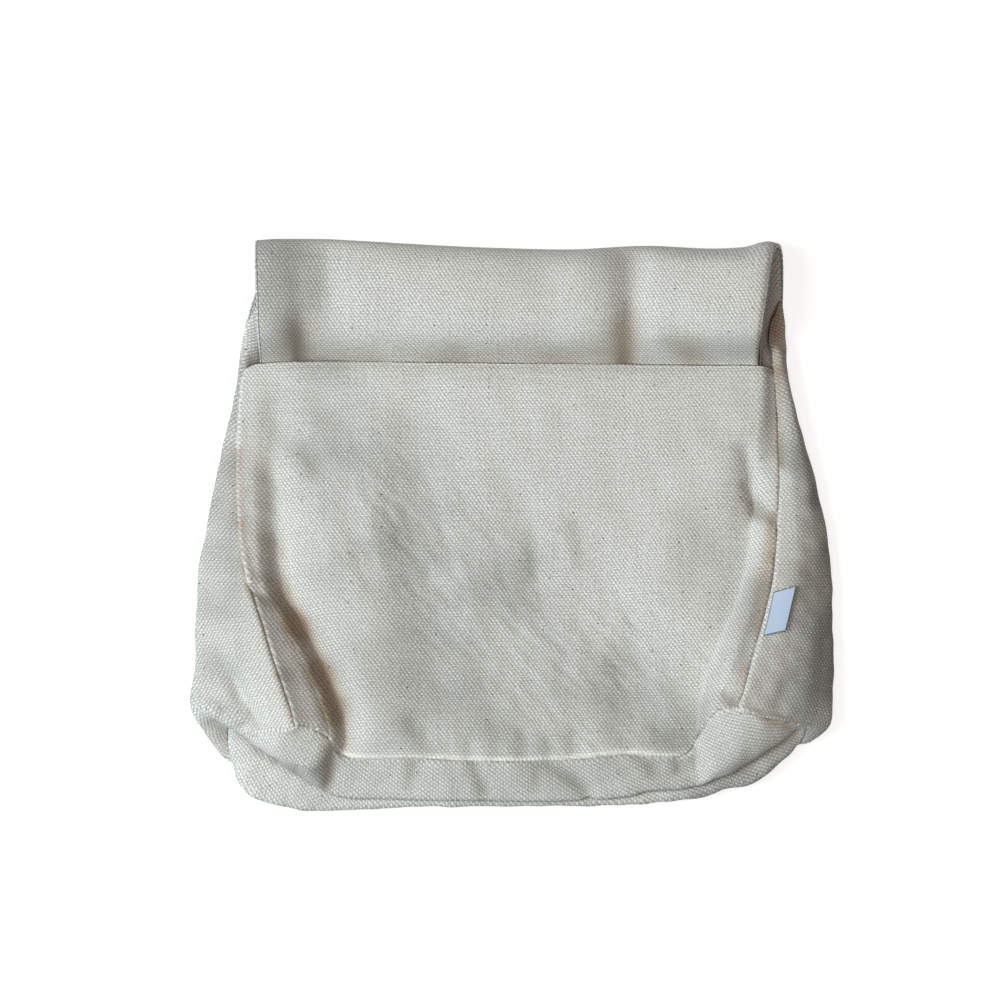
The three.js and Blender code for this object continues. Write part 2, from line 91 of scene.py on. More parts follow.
class Table:
    """Rows of numbers under named columns, one row for each section, station or fold."""

    def __init__(self, columns: str, rows: list[list[float]] | Array) -> None:
        """Keeps each column as an array.

        Args:
            columns: The columns' names, parted by spaces.
            rows: The rows, each with a number for every column.
        """
        self.columns = dict(zip(columns.split(), np.array(rows, float).T))

    def __getitem__(self, name: str) -> Array:
        """The whole column of that name."""
        return self.columns[name]

    def points(self, *names: str) -> Array:
        """Points whose coordinates are the named columns."""
        return np.stack([self.columns[name] for name in names], axis=-1)

    def at(self, key: str, name: str, where: Array) -> Array:
        """A column read at any place along a key column, by a cubic that never overshoots the rows.

        The tangent at a row is the harmonic mean of the slopes on its two sides, or none where they differ
        in sign.

        Args:
            key: The column that says where the rows lie.
            name: The column that is read.
            where: The places, which are held within the rows.

        Returns:
            The column's values there.
        """
        order = np.argsort(self[key])
        k, v = self[key][order], self[name][order]
        slope = np.diff(v) / np.diff(k)
        product = slope[:-1] * slope[1:]
        total = np.where(product > 0, slope[:-1] + slope[1:], 1.0)
        inner = np.where(product > 0, 2 * product / total, 0.0)
        tangent = np.concatenate([slope[:1], inner, slope[-1:]])
        w = np.clip(where, k[0], k[-1])
        i = np.clip(np.searchsorted(k, w, side="right") - 1, 0, len(k) - 2)
        span = k[i + 1] - k[i]
        t = (w - k[i]) / span
        t2, t3 = t * t, t * t * t
        start = v[i] * (2 * t3 - 3 * t2 + 1) + tangent[i] * span * (t3 - 2 * t2 + t)
        return start + v[i + 1] * (3 * t2 - 2 * t3) + tangent[i + 1] * span * (t3 - t2)


@dataclass(frozen=True)
class Unevenness:
    """Slight waves of the cloth in seeded directions, as high as the rise by root mean square."""

    rise: float
    waves: int
    shortest: float
    longest: float
    seed_step: int = 0

    def at(self, x: Array, y: Array, seed: int) -> Array:
        """The sum of the waves at places.

        Args:
            x: Places across the cloth.
            y: Places along it.
            seed: The cloth's own seed.

        Returns:
            The unevenness there.
        """
        draw = np.random.default_rng(seed + self.seed_step)
        total = np.zeros(np.broadcast(x, y).shape)
        for turn, size, phase in zip(*draw.random((3, self.waves))):
            length = self.shortest * (self.longest / self.shortest) ** size
            angle = np.pi * turn
            total += np.sin(2 * np.pi * ((x * np.cos(angle) + y * np.sin(angle)) / length + phase))
        return self.rise * total * np.sqrt(2 / self.waves)


FRONT_WAVES = Unevenness(0.15, 24, 12, 45)
FLAP_WAVES = Unevenness(0.12, 24, 12, 45)
SIDE_WAVES = Unevenness(0.12, 20, 6, 26)
STREAK_WAVES = Unevenness(1.0, 40, 3, 9, seed_step=40)
# Slow waves that make the painted shade uneven
SHADE_PATCHES = Unevenness(0.25, 16, 14, 50, seed_step=20)

# The form that the panels share with the imported solids, then creases and streaks of the cloth, and the
# painted grey and warm shade laid on it
MIDDLE = Table("y z", [
    [53, 8.8],
    [40, 8.6],
    [20, 7.6],
    [0, 6.6],
    [-25, 6.4],
    [-50, 7.8],
    [-70, 10.8],
    [-80, 12.2],
])
SEAM_COLUMNS = "y x z ridge fall valley drop"
LEFT_SEAM = Table(SEAM_COLUMNS, [
    [50, -89.4, 8.8, 3, 10, 0, 0.2],
    [31, -91.0, 9.4, 3.4, 9.6, 0.7, 0.4],
    [14, -91.2, 10.8, 4, 9, 2.0, 0.8],
    [-2, -90.7, 12.4, 4, 8.8, 2.6, 1.4],
    [-12, -89.3, 13.4, 3.6, 8.4, 2.7, 1.4],
    [-21, -87.0, 14.4, 3.2, 7.4, 2.8, 1.6],
    [-33, -82.8, 16.4, 6.2, 6.8, 3.0, 3.8],
    [-50, -77.2, 18.8, 9.2, 6.8, 3.2, 6.2],
    [-58, -74.4, 20.0, 10, 6.8, 3.0, 6.6],
    [-66.7, -71.8, 21.2, 10.4, 6.4, 2.4, 6.6],
    [-72, -70.9, 20.8, 10.2, 6.0, 1.6, 6.2],
    [-79, -69.7, 18.8, 5, 5.6, 0.8, 3.4],
])
RIGHT_SEAM = Table(SEAM_COLUMNS, [
    [50, 86.4, 6.9, 0.4, 4.2, 0, 0.4],
    [34, 87.3, 5.8, 0.5, 6, 0, 0.4],
    [14, 87.8, 8.0, 2, 7, 0.6, 0],
    [2, 87.4, 10.0, 3, 6.4, 1.2, 0.2],
    [-6, 86.9, 10.8, 3, 6.4, 1.1, 0.6],
    [-22, 84.8, 12.4, 3.5, 7, 0.8, 0.9],
    [-38.6, 80.4, 14.8, 4.5, 8.4, 0.6, 1.3],
    [-48.5, 77.6, 16.6, 5.4, 8.6, 0.6, 2.0],
    [-60.7, 74.4, 19.0, 6.4, 7.2, 0.8, 2.8],
    [-68, 72.6, 19.0, 6.0, 6.2, 0.6, 2.8],
    [-73, 71.5, 18.6, 5.0, 6, 0.5, 2.6],
    [-79, 70.3, 17.4, 4, 6, 0.4, 2.2],
])
VALLEY_HALF = 5.5
SEAM_TOP_Y = 50
MOUTH_EDGE = Table("x y", [
    [-89.4, 50.0],
    [-87.0, 52.0],
    [-83.0, 52.9],
    [-60.0, 53.4],
    [0.0, 52.8],
    [60.0, 52.2],
    [82.0, 51.9],
    [84.6, 51.2],
    [86.4, 50.0],
])
FRONT_FOOT_Y = -79
FOLD_FADE = 9

FOLD_COLUMNS = "x0 y0 x1 y1 half rise"
FRONT_FOLDS = Table(FOLD_COLUMNS, [
    [-68, 24, -62, -8, 9, 2.2],
    [-60, -14, -50, -62, 9, 2.0],
    [-79, 36, -64, 18, 5, -1.4],
    [-46, 34, -48, 0, 9, 1.2],
    [-46, -6, -40, -64, 10, 1.6],
    [-50, -10, -46, -60, 32, 2.0],
    [-30, 30, -28, -60, 12, -1.0],
    [4, 6, 7, -20, 6, -0.9],
    [66, 16, 46, -16, 12, 1.6],
    [60, -26, 74, -50, 16, 2.4],
    [38, -46, 42, -64, 9, -1.8],
    [76.6, 24, 81, 4, 3.2, -1.4],
    [-10, 44, 40, 44, 16, 0.8],
])
FLAP_FOLDS = Table(FOLD_COLUMNS, [
    [-86, 84, -86, 60, 13, 3.0],
    [-62, 86, -62, 54, 8, -1.8],
    [-71, 64, -70, 52, 5, -1.2],
    [-14, 84, -10, 60, 26, 1.6],
    [22, 86, 22, 60, 9, 1.5],
    [38.5, 88, 38.5, 52, 5.5, -2.4],
    [84, 84, 84, 58, 36, 7.2],
    [91, 84, 89, 58, 5, -5.0],
])
GUSSET_FOLDS = Table(FOLD_COLUMNS, [
    [-97.5, -43, -91, -58, 3.0, -2.5],
    [-91.5, -51, -85, -64, 2.8, -2.6],
    [-99, -26, -97, -40, 5, 0.9],
    [97, -38, 90, -58, 6, -0.9],
])

FRONT_CREASES = Table(FOLD_COLUMNS, [
    [-89, -18, -76, -22, 2.2, 1.10],
    [-85, -23, -79, -27, 2.0, -0.88],
    [-80.5, 9, -78.5, -14, 3.5, 0.60],
    [-77.5, 20, -76, -13, 5.0, 0.95],
    [-87, 15, -80, 12, 2.2, 0.30],
    [-87, 6, -79, 2, 2.0, 0.35],
    [-86, -6, -78, -9, 2.0, 0.40],
    [-68, 25, -66, 20, 4.0, -0.62],
    [6, -3, 7.5, -18, 2.6, -0.56],
    [20.5, -1, 23, -12, 3.2, -0.56],
    [57, 3, 66, -8, 5.0, -0.50],
    [77, 12, 80.5, 3, 2.2, -0.75],
    [80.5, 3, 86, 1, 2.2, -0.75],
    [70, -56, 74, -60, 2.4, -1.25],
    [34, -68, 38, -75, 3.4, -0.45],
    [48, -66, 54, -74, 4.0, -0.45],
    [-34, -66, -26, -76, 3.0, -0.50],
    [-22.4, -73, -21, -77, 2.4, -0.40],
    [-14.7, -72, -14, -78, 2.6, -0.45],
    [-6, -73, -6, -78, 2.4, -0.40],
    [3, -70, 3, -78, 2.6, -0.50],
    [11.7, -73, 12, -78, 2.4, -0.40],
    [19.6, -70, 20, -77, 2.6, -0.45],
    [80, 6, 86, 1, 2.2, -0.9],
])
BOTTOM_CREASES = Table(FOLD_COLUMNS, [
    [-33, -80, -32.5, -87, 2.8, -0.75],
    [-12.5, -80, -9.5, -88, 2.6, -0.90],
    [-22, -81, -20, -86, 3.6, 0.40],
    [7, -79, 8, -86, 2.6, -0.60],
    [11.5, -79, 24, -88, 2.6, -1.05],
    [28, -79, 36, -86, 3.6, 0.50],
    [42, -77, 46, -81, 2.8, -0.80],
    [54, -78, 55, -81, 2.4, -0.65],
    [-89.5, -70.5, -84, -75.8, 1.7, -0.90],
    [-84, -75.8, -79, -78.6, 1.7, -1.10],
    [-79, -78.6, -71.5, -81.2, 1.9, -0.90],
    [-71.5, -81.2, -65, -82, 2.2, -0.60],
    [-65, -82, -61, -77, 2.2, -0.25],
    [-76, -72.5, -65, -74.5, 4.0, 1.20],
])
GUSSET_CREASES = Table(FOLD_COLUMNS, [
    [-102.5, -60, -98, -61.5, 2.4, 1.22],
    [-98, -61.5, -91.5, -66, 2.4, 1.76],
    [-99, -66.5, -95, -70, 3.2, -2.16],
])
STREAK_LENGTH = 2.4
FRONT_STREAKS = Table(FOLD_COLUMNS, [
    [-40, 0, 20, -55, 30, 0.10],
    [40, -40, 60, -60, 18, 0.07],
])
# Painted grey shade: grey laid along seams and ridges, at the mouth and the flap's foot, on the right
# gusset's outer edge, and over broad darker patches on the front's lower half
FRONT_GREY_SHADE = Table(FOLD_COLUMNS, [
    [-37, 16, -31, -70, 16, 0.28],
    [-8, -20, 2, -70, 22, 0.30],
    [36, -52, 54, -70, 12, 0.42],
    [-66, 42, -60, 30, 14, 0.30],
    [-84.5, -26, -74.5, -50, 3, 0.34],
    [-74.5, -50, -69.5, -66, 3.2, 0.38],
    [-68, 20, -57, -60, 8, 0.20],
    [-83, 12, -80, -14, 4.5, 0.20],
    [82, -20, 74, -56, 5, 0.42],
    [68, -52, 61, -68, 5, 0.12],
    [-80, 50.5, 80, 49.5, 4, 0.10],
    [85, 50, 86, 24, 3, 0.34],
])
FLAP_GREY_SHADE = Table(FOLD_COLUMNS, [
    [-84, 54, 36, 53, 4.5, 0.18],
    [36, 53, 80, 52.5, 3, 0.10],
    [-76, 86, -70, 56, 12, 0.46],
    [33, 86, 33, 56, 6, 0.16],
    [84.2, 84, 83.0, 73, 1.2, 0.40],
    [83.0, 73, 81.6, 62, 1.2, 0.45],
    [81.6, 62, 81.4, 53, 1.2, 0.45],
])
GUSSET_GREY_SHADE = Table(FOLD_COLUMNS, [
    [96, 24, 100, -22, 7, 0.17],
    [100, -22, 96, -64, 10, 0.42],
    [89, 54, 92, 20, 4, 0.30],
    [95, 36, 99.5, 8, 2.8, 0.55],
    [99.5, 8, 104.5, -10, 3.0, 0.50],
    [104.5, -10, 105, -36, 3.4, 0.55],
    [105, -36, 103.5, -64, 7.0, 0.95],
    [-92, 48, -98, 0, 9, 0.48],
    [-100, -10, -98, -60, 13, 0.24],
])
BOTTOM_GREY_SHADE = Table(FOLD_COLUMNS, [
    [-62, -82, 66, -84, 13, 0.24],
    [60, -90.5, 90, -79, 3, 0.42],
    [66, -66, 88, -72, 9, 0.16],
])
# Painted warm shade: brown laid in the valley beside the left ridge, along the seams, at the flap's foot by
# the mouth and in the gusset's opening, where shade falls
FRONT_WARM_SHADE = Table(FOLD_COLUMNS, [
    [-82, 18, -81, -8, 4, 0.14],
    [-81.5, -8, -80, -17, 4, 0.20],
    [-78.5, -24, -72.0, -34, 4.2, 0.65],
    [-72.0, -34, -64.0, -50, 4.3, 0.92],
    [-64.0, -50, -59.4, -61, 4.3, 0.95],
    [-59.4, -61, -58.2, -70, 4.0, 0.95],
    [86.4, 44, 87, 24, 1.6, 0.6],
    [85.8, 2, 84.8, -12, 2.4, 0.6],
    [84.8, -12, 80.5, -34, 3.2, 0.6],
    [76, -48, 72.5, -60, 2.4, 0.5],
    [-91, 24, -90.4, 0, 1.2, 0.5],
    [-90.4, 0, -87, -21, 1.2, 0.5],
    [-87, -21, -77.2, -50, 1.2, 0.5],
    [-77.2, -50, -71.8, -66.7, 1.2, 0.5],
])
FLAP_WARM_SHADE = Table(FOLD_COLUMNS, [
    [-71, 62, -70, 53, 4.5, 0.7],
    [36, 64, 36, 53, 4.5, 0.6],
    [58, 57, 59, 53, 5, 0.4],
    [-84, 55, 34, 54, 5, 0.30],
    [83.0, 73, 81.6, 62, 1.2, 0.40],
    [81.6, 62, 81.4, 53, 1.2, 0.50],
])
GUSSET_WARM_SHADE = Table(FOLD_COLUMNS, [
    [85, 72, 86, 52, 4, 0.9],
    [87.5, 50, 88.4, 20, 1.8, 0.6],
    [97, -16, 98, -24, 5, 0.2],
    [-91.4, 24, -91, 0, 1.2, 0.4],
    [-91, 0, -87.6, -21, 1.2, 0.4],
    [-87.6, -21, -77.8, -50, 1.2, 0.4],
    [-77.8, -50, -72.4, -66.7, 1.2, 0.4],
])
BOTTOM_WARM_SHADE = Table(FOLD_COLUMNS, [
    [-59.6, -74, -62.5, -86, 2.2, 0.22],
    [84, -65, 92, -67.5, 1.6, 0.5],
])
FLAP_CREASES = Table(FOLD_COLUMNS, [
    [-72, 80, -70, 56, 3.0, -0.5],
    [-62.5, 87, -62, 78, 3.0, -0.3],
    [41, 88, 39.5, 70, 3.5, -0.5],
    [39.5, 70, 41, 54, 3.5, -0.6],
    [53, 60, 61, 54, 4.0, -0.5],
    [-45, 58, -44, 54, 3.5, -0.4],
    [-19, 57, -18, 54, 3.5, -0.3],
])

GUSSET_COLUMNS = "seamY tuck sideX sideY sideZ lowX lowY backX backY puff"
LEFT_GUSSET = Table(GUSSET_COLUMNS, [
    [51.2, 5.0, -84.6, 60, 4.8, -84.2, 64, -86.4, 70, 0.2],
    [50.5, 2.0, -89.0, 57, 6.0, -89.0, 62, -88.0, 66, 0.5],
    [40, 2.4, -92.2, 41, 6.2, -90.6, 42, -88.0, 43, 0.8],
    [22, 2.4, -96.9, 22, 7.0, -93.2, 22, -88.0, 22, 0.9],
    [2, 1.3, -100.7, 2, 8.0, -95.4, 2, -88.6, 2, 1.1],
    [-16, 0.3, -104.2, -16, 9.0, -98.0, -16, -89.0, -16, 1.4],
    [-34, -0.3, -105.2, -34, 9.8, -98.8, -35, -89.5, -36, 1.4],
    [-48, -0.4, -105.2, -48.5, 10.2, -99.0, -51, -90.0, -53, 1.3],
    [-57, -0.3, -106.6, -59.5, 10.4, -100.2, -65, -90.2, -66, 1.0],
    [-62.5, -0.1, -103.8, -65, 10.6, -100.2, -71.5, -90.4, -74, 0.5],
    [-65.2, 0, -98.2, -67, 11.2, -96.8, -76.4, -90.5, -79, 0.3],
])
RIGHT_GUSSET = Table(GUSSET_COLUMNS, [
    [51.6, 0.4, 84.9, 60, 4.6, 85.4, 66, 88.0, 74, 0.2],
    [50.6, 0.3, 87.6, 60, 5.6, 88.8, 67, 88.4, 72.5, 1.0],
    [40, 0.2, 92.3, 41, 4.8, 91.0, 43, 88.4, 45, 2.0],
    [22, 0.2, 97.6, 22, 4.0, 93.8, 22, 88.6, 22, 2.2],
    [2, 0.2, 102.6, 2, 3.8, 96.6, 2, 89.0, 2, 2.0],
    [-16, -0.2, 105.2, -16, 3.8, 98.6, -16, 89.6, -16, 1.9],
    [-32, -0.3, 105.8, -33, 3.8, 99.2, -34, 90.0, -35, 2.0],
    [-46, -0.3, 106.2, -48, 4.2, 99.6, -50, 90.5, -51, 1.9],
    [-54, -0.2, 105.6, -59, 5.2, 100.6, -62, 90.8, -62, 1.4],
    [-58, 0, 104.8, -65.6, 6.4, 101.6, -69.4, 91.0, -69, 0.6],
    [-59.8, 0, 101.4, -66.8, 8.4, 98.2, -72.2, 91.1, -72.4, 0.3],
])
GUSSET_FORM = {"brow": 0.34, "cheek": 0.7, "outward": 0.55, "low": 0.62, "tuck_in": 0.8}
FOLDS_FROM = 0.16
FOLDS_TO = 0.5
LEFT_END = Table("x y z", [
    [-71.8, -66.7, 21.2],
    [-80.2, -68.8, 19.4],
    [-88.2, -69.4, 15.6],
    [-93.2, -67.6, 11.4],
    [-93.8, -75.0, 6.6],
    [-90.6, -81.8, LAP_Z],
])
RIGHT_END = Table("x y z", [
    [74.4, -60.7, 19.0],
    [81.0, -63.9, 17.8],
    [89.6, -65.2, 14.0],
    [96.2, -66.6, 9.8],
    [95.4, -71.2, 6.4],
    [91.2, -74.8, LAP_Z],
])
BOTTOM = Table("seamX seamY puff valleyX valleyY valleyZ rearX rearY rearZ", [
    [-66.8, -67.2, 4.0, -83.0, -75.8, 8.6, -89.0, -88.6, 6.4],
    [-61.0, -71.0, 4.6, -64.6, -86.4, 7.4, -71.4, -94.6, 6.0],
    [-59.0, -75.0, 0.8, -61.0, -88.6, 6.4, -63.8, -95.2, 5.8],
    [-54.0, -77.4, 0.8, -55.4, -90.0, 6.4, -56.4, -94.9, 5.8],
    [-30.0, -77.8, 1.5, -30.0, -90.7, 6.6, -30.0, -93.8, 5.8],
    [-10.0, -78.6, 1.6, -10.0, -90.9, 6.6, -10.0, -93.6, 5.8],
    [15.0, -78.4, 1.6, 15.0, -91.0, 6.6, 15.0, -93.4, 5.8],
    [37.0, -76.4, 1.6, 37.0, -89.4, 6.6, 37.0, -93.1, 5.8],
    [54.5, -77.2, 0.8, 54.0, -87.0, 6.6, 55.0, -91.6, 5.8],
    [58.8, -74.8, 0.6, 62.5, -85.6, 6.8, 64.0, -90.2, 5.8],
    [60.4, -71.4, 4.8, 67.0, -83.6, 7.2, 69.5, -88.2, 5.8],
    [62.8, -67.6, 5.6, 75.0, -79.6, 7.8, 78.0, -86.6, 6.0],
    [67.4, -61.9, 4.8, 88.0, -71.2, 9.0, 90.6, -77.2, 6.0],
])
BOTTOM_FORM = {
    "swell_at": 0.5, "swell_lift": 0.8, "lip_rise": 2.4,
    "lip_out": 0.2, "crease_in": 2.4, "back_in": 2.4,
}
STRIP = Table("y z left right wave", [
    [78, BACK_Z, -85.0, 89.4, 0],
    [83.5, BACK_Z, -85.0, 89.4, 0.5],
    [88, 1.6, -85.2, 89.2, 0.9],
    [90.9, 4.6, -85.4, 88.4, 1],
    [90.2, 8.0, -85.4, 86.8, 1],
    [86.4, 11.0, -85.3, 85.7, 0.7],
    [80, 13.2, -85.1, 84.5, 0.3],
    [73, 14.1, -84.8, 83.6, 0.1],
    [67, 13.7, -84.6, 82.7, 0],
    [62.5, 12.2, -84.4, 82.2, 0],
    [59, 10.2, -84.2, 82.0, 0],
    [56, 8.3, -84.0, 82.0, 0],
    [53, 6.8, -83.9, 82.0, 0],
    [46, 5.3, -83.5, 81.6, 0],
    [34, 3.9, -83.1, 81.0, 0],
    [20, 3.2, -82.8, 80.4, 0],
])
FOLD_LINE = Table("x dy", [
    [-86, 1.7],
    [-78, 2.2],
    [-66, 2.2],
    [-50, 1.5],
    [-30, 0.3],
    [-8, -0.7],
    [17, -1.3],
    [44, -0.1],
    [66, -1.0],
    [76, -0.5],
    [84, 1.4],
    [89, 0.2],
])
LEDGE = {"width": 1.3, "run": 0.5, "drop": 0.7}
FLAP_START = {"share": 0.2, "run": 0.14}
FLAP_FADE = {"from_y": 53, "run": 10}
BACK_MARGIN = 0.8
LABEL_ROWS = {"top": 5.42, "foot": 6.36, "skew": 0.13}
GUSSET_CREASES_TO = {"share": 0.85, "run": 0.2}
BOTTOM_CREASES_TO = {"share": 0.62, "run": 0.14}
MOST_TRIM = 0.5

# The tables of each side, then the axis and end of each border in the order of a piece's edges
SIDES = {-1: (LEFT_GUSSET, LEFT_SEAM, LEFT_END), 1: (RIGHT_GUSSET, RIGHT_SEAM, RIGHT_END)}
BORDERS = ((0, 0), (0, -1), (1, 0), (1, -1))


def smooth(t: Array) -> Array:
    """Soft step from 0 to 1: three times the square less twice the cube."""
    c = np.clip(t, 0, 1)
    return c * c * (3 - 2 * c)


def mix(a: Array, b: Array, t: Array) -> Array:
    """Straight blend from a to b."""
    return a + (b - a) * t


def unit(v: Array) -> Array:
    """Vectors of length one in the same directions."""
    return v / np.maximum(np.linalg.norm(v, axis=-1, keepdims=True), TINY)


def spline(points: Array, at: Array) -> Array:
    """Centripetal spline: a cubic between two points whose end tangents look at the points beyond.

    Args:
        points: The points it passes through, along the first axis.
        at: Places on it, counted in points from 0.

    Returns:
        A point for each place.
    """
    held = np.concatenate([2 * points[:1] - points[1:2], points, 2 * points[-1:] - points[-2:-1]])
    i = np.clip(at.astype(int), 0, len(points) - 2)
    w = (at - i).reshape((-1,) + (1,) * (points.ndim - 1))
    p0, p1, p2, p3 = (held[i + k] for k in range(4))
    d0, d1, d2 = (
        np.maximum(np.sqrt(np.linalg.norm(b - a, axis=-1, keepdims=True)), TINY)
        for a, b in ((p0, p1), (p1, p2), (p2, p3))
    )
    t1 = ((p1 - p0) / d0 - (p2 - p0) / (d0 + d1) + (p2 - p1) / d1) * d1
    t2 = ((p2 - p1) / d1 - (p3 - p1) / (d1 + d2) + (p3 - p2) / d2) * d1
    w2, w3 = w * w, w * w * w
    return (2 * w3 - 3 * w2 + 1) * p1 + (w3 - 2 * w2 + w) * t1 + (3 * w2 - 2 * w3) * p2 + (w3 - w2) * t2


def reach_along(curve: Array) -> Array:
    """Distance along a line of points from its first point."""
    steps = np.linalg.norm(np.diff(curve, axis=0), axis=-1)
    return np.concatenate([np.zeros((1,) + steps.shape[1:]), np.cumsum(steps, axis=0)])


def measured(points: Array) -> tuple[Array, Array]:
    """Close places on the spline through points, counted in points, and the distance along it to each."""
    t = np.linspace(0, len(points) - 1, CURVE_STEPS * len(points))
    return t, reach_along(spline(points, t))


def along(points: Array, shares: Array) -> Array:
    """Points of the spline through points at shares of its length, from 0 to 1."""
    t, reach = measured(points)
    return spline(points, np.interp(shares * reach[-1], reach, t))


def spline_length(points: Array) -> float:
    """Length of the spline through the points."""
    return float(measured(points)[1][-1])


def fold_rise(folds: Table, x: Array, y: Array) -> Array:
    """Rise of soft folds: each dies away as a bell curve of the distance from its line.

    Args:
        folds: The folds, with a half width and a rise each.
        x: Places across the pouch.
        y: Places along it.

    Returns:
        The sum of their rises there.
    """
    rise = np.zeros(np.broadcast(x, y).shape)
    for x0, y0, x1, y1, half, high in folds.points(*FOLD_COLUMNS.split()):
        dx, dy = x1 - x0, y1 - y0
        t = np.clip(((x - x0) * dx + (y - y0) * dy) / (dx * dx + dy * dy), 0, 1)
        away = np.hypot(x - x0 - t * dx, y - y0 - t * dy)
        rise += high * np.exp(-((away / half) ** 2))
    return rise


def normals(grid: Array) -> Array:
    """Unit normals of a grid: the cross product of its steps down and across."""
    return unit(np.cross(np.gradient(grid, axis=0), np.gradient(grid, axis=1)))


def blur(values: Array, rounds: int, axes: tuple[int, ...]) -> Array:
    """Rounds of averaging with the neighbours along axes, a half to a quarter each.

    Args:
        values: Values on a line or grid.
        rounds: How many rounds.
        axes: The axes whose neighbours count.

    Returns:
        The evened values.
    """
    out = values
    for _ in range(rounds):
        for axis in axes:
            pad = [(1, 1) if a == axis else (0, 0) for a in range(out.ndim)]
            wide = np.pad(out, pad, mode="edge")
            low, mid, high = (np.take(wide, range(k, k + out.shape[axis]), axis=axis) for k in range(3))
            out = (low + 2 * mid + high) / 4
    return out


class PouchForm:
    """The shape that all the panels share: the front's height, its seams and the sections between them."""

    @staticmethod
    def seam_rise(side: int, x: Array, y: Array, middle: Array) -> Array:
        """What the ridge and valley beside one side seam add to the front panel's middle height.

        The ridge drops evenly from the seam to its crest and then falls by a soft step, and the valley at
        its foot is a bell curve.

        Args:
            side: -1 for the left seam and 1 for the right one.
            x: Places across the pouch.
            y: Places along it.
            middle: Height of the panel's middle there.

        Returns:
            The rise there.
        """
        line = SIDES[side][1]
        seam_x, seam_z, ridge, fall, valley, drop = (
            line.at("y", name, y) for name in ("x", "z", "ridge", "fall", "valley", "drop")
        )
        away = np.maximum(0, side * (seam_x - x))
        crest = seam_z - drop * np.clip(away / ridge, 0, 1)
        stand = (crest - middle) * (1 - smooth((away - ridge) / fall))
        foot = (away - ridge - fall) / VALLEY_HALF
        return stand - valley * np.exp(-foot * foot)

    @classmethod
    def front_points(cls, x: Array, y: Array) -> Array:
        """Points of the front panel: its middle height, both ridges, and folds that fade at its edges.

        Args:
            x: Places across the pouch.
            y: Places along it.

        Returns:
            A point for each place.
        """
        middle = MIDDLE.at("y", "z", y)
        ridges = sum(cls.seam_rise(side, x, y, middle) for side in SIDES)
        from_sides = np.minimum(x - LEFT_SEAM.at("y", "x", y), RIGHT_SEAM.at("y", "x", y) - x)
        from_ends = np.minimum(MOUTH_EDGE.at("x", "y", x) - y, y - FRONT_FOOT_Y)
        fade = smooth(np.minimum(from_sides, from_ends) / FOLD_FADE)
        return np.stack([x, y, middle + ridges + fold_rise(FRONT_FOLDS, x, y) * fade], axis=-1)

    @classmethod
    def bottom_seam(cls) -> Array:
        """The seam from front to bottom panel, on the front's height from corner to corner.

        Returns:
            Points of the seam.
        """
        left, right = (end.points("x", "y")[:1] for end in (LEFT_END, RIGHT_END))
        plan = np.concatenate([left, BOTTOM.points("seamX", "seamY"), right])
        return cls.front_points(plan[:, 0], plan[:, 1])

    @classmethod
    def gusset_sections(cls, side: int) -> Array:
        """Sections of a gusset, from the mouth to its seam with the bottom panel.

        Args:
            side: -1 for the left gusset and 1 for the right one.

        Returns:
            Six points for each section: seam, brow, cheek, outer fold, under it, and back edge.
        """
        form = GUSSET_FORM
        rows, seam, end = SIDES[side]
        start = cls.front_points(seam.at("y", "x", rows["seamY"]), rows["seamY"])
        start[:, 0] -= side * rows["tuck"] * form["tuck_in"]
        start[:, 2] -= rows["tuck"]
        flat = np.full(len(start), LAP_Z)
        out = np.stack([rows["sideX"] - side * BACK_Z, rows["sideY"], rows["sideZ"]], axis=-1)
        low_z = mix(rows["sideZ"], flat, form["low"])
        low = np.stack([rows["lowX"] - side * BACK_Z, rows["lowY"], low_z], axis=-1)
        back = np.stack([rows["backX"], rows["backY"], flat], axis=-1)
        puff = rows["puff"]
        swell = np.stack([side * puff * form["outward"], 0 * puff, puff], axis=-1)
        brow, cheek = (mix(start, out, form[name]) + swell for name in ("brow", "cheek"))
        sections = np.stack([start, brow, cheek, out, low, back], axis=1)
        return np.concatenate([sections, end.points("x", "y", "z")[None]])

    @classmethod
    def bottom_sections(cls) -> Array:
        """Sections of the bottom panel, left to right: steps inward and up from its seam, valley and rear.

        Returns:
            Six points for each section: seam, swell, lip, crease, rear swell and back edge.
        """
        form = BOTTOM_FORM
        seam = cls.front_points(BOTTOM["seamX"], BOTTOM["seamY"])
        valley = BOTTOM.points("valleyX", "valleyY", "valleyZ")
        rear = BOTTOM.points("rearX", "rearY", "rearZ")
        inward = unit((valley - rear) * [1, 1, 0])
        rear = rear + inward * BACK_Z
        puff = BOTTOM["puff"][:, None]
        up = np.array([0, 0, 1])
        swell = mix(seam, valley, form["swell_at"]) - inward * puff + up * puff * form["swell_lift"]
        lip = valley - inward * form["lip_out"] + up * form["lip_rise"]
        crease = valley + inward * form["crease_in"]
        back = (rear + inward * form["back_in"]) * [1, 1, 0] + up * LAP_Z
        sections = np.stack([seam, swell, lip, crease, rear, back], axis=1)
        left, right = (end.points("x", "y", "z")[None] for end in (LEFT_END, RIGHT_END))
        return np.concatenate([left, sections, right])


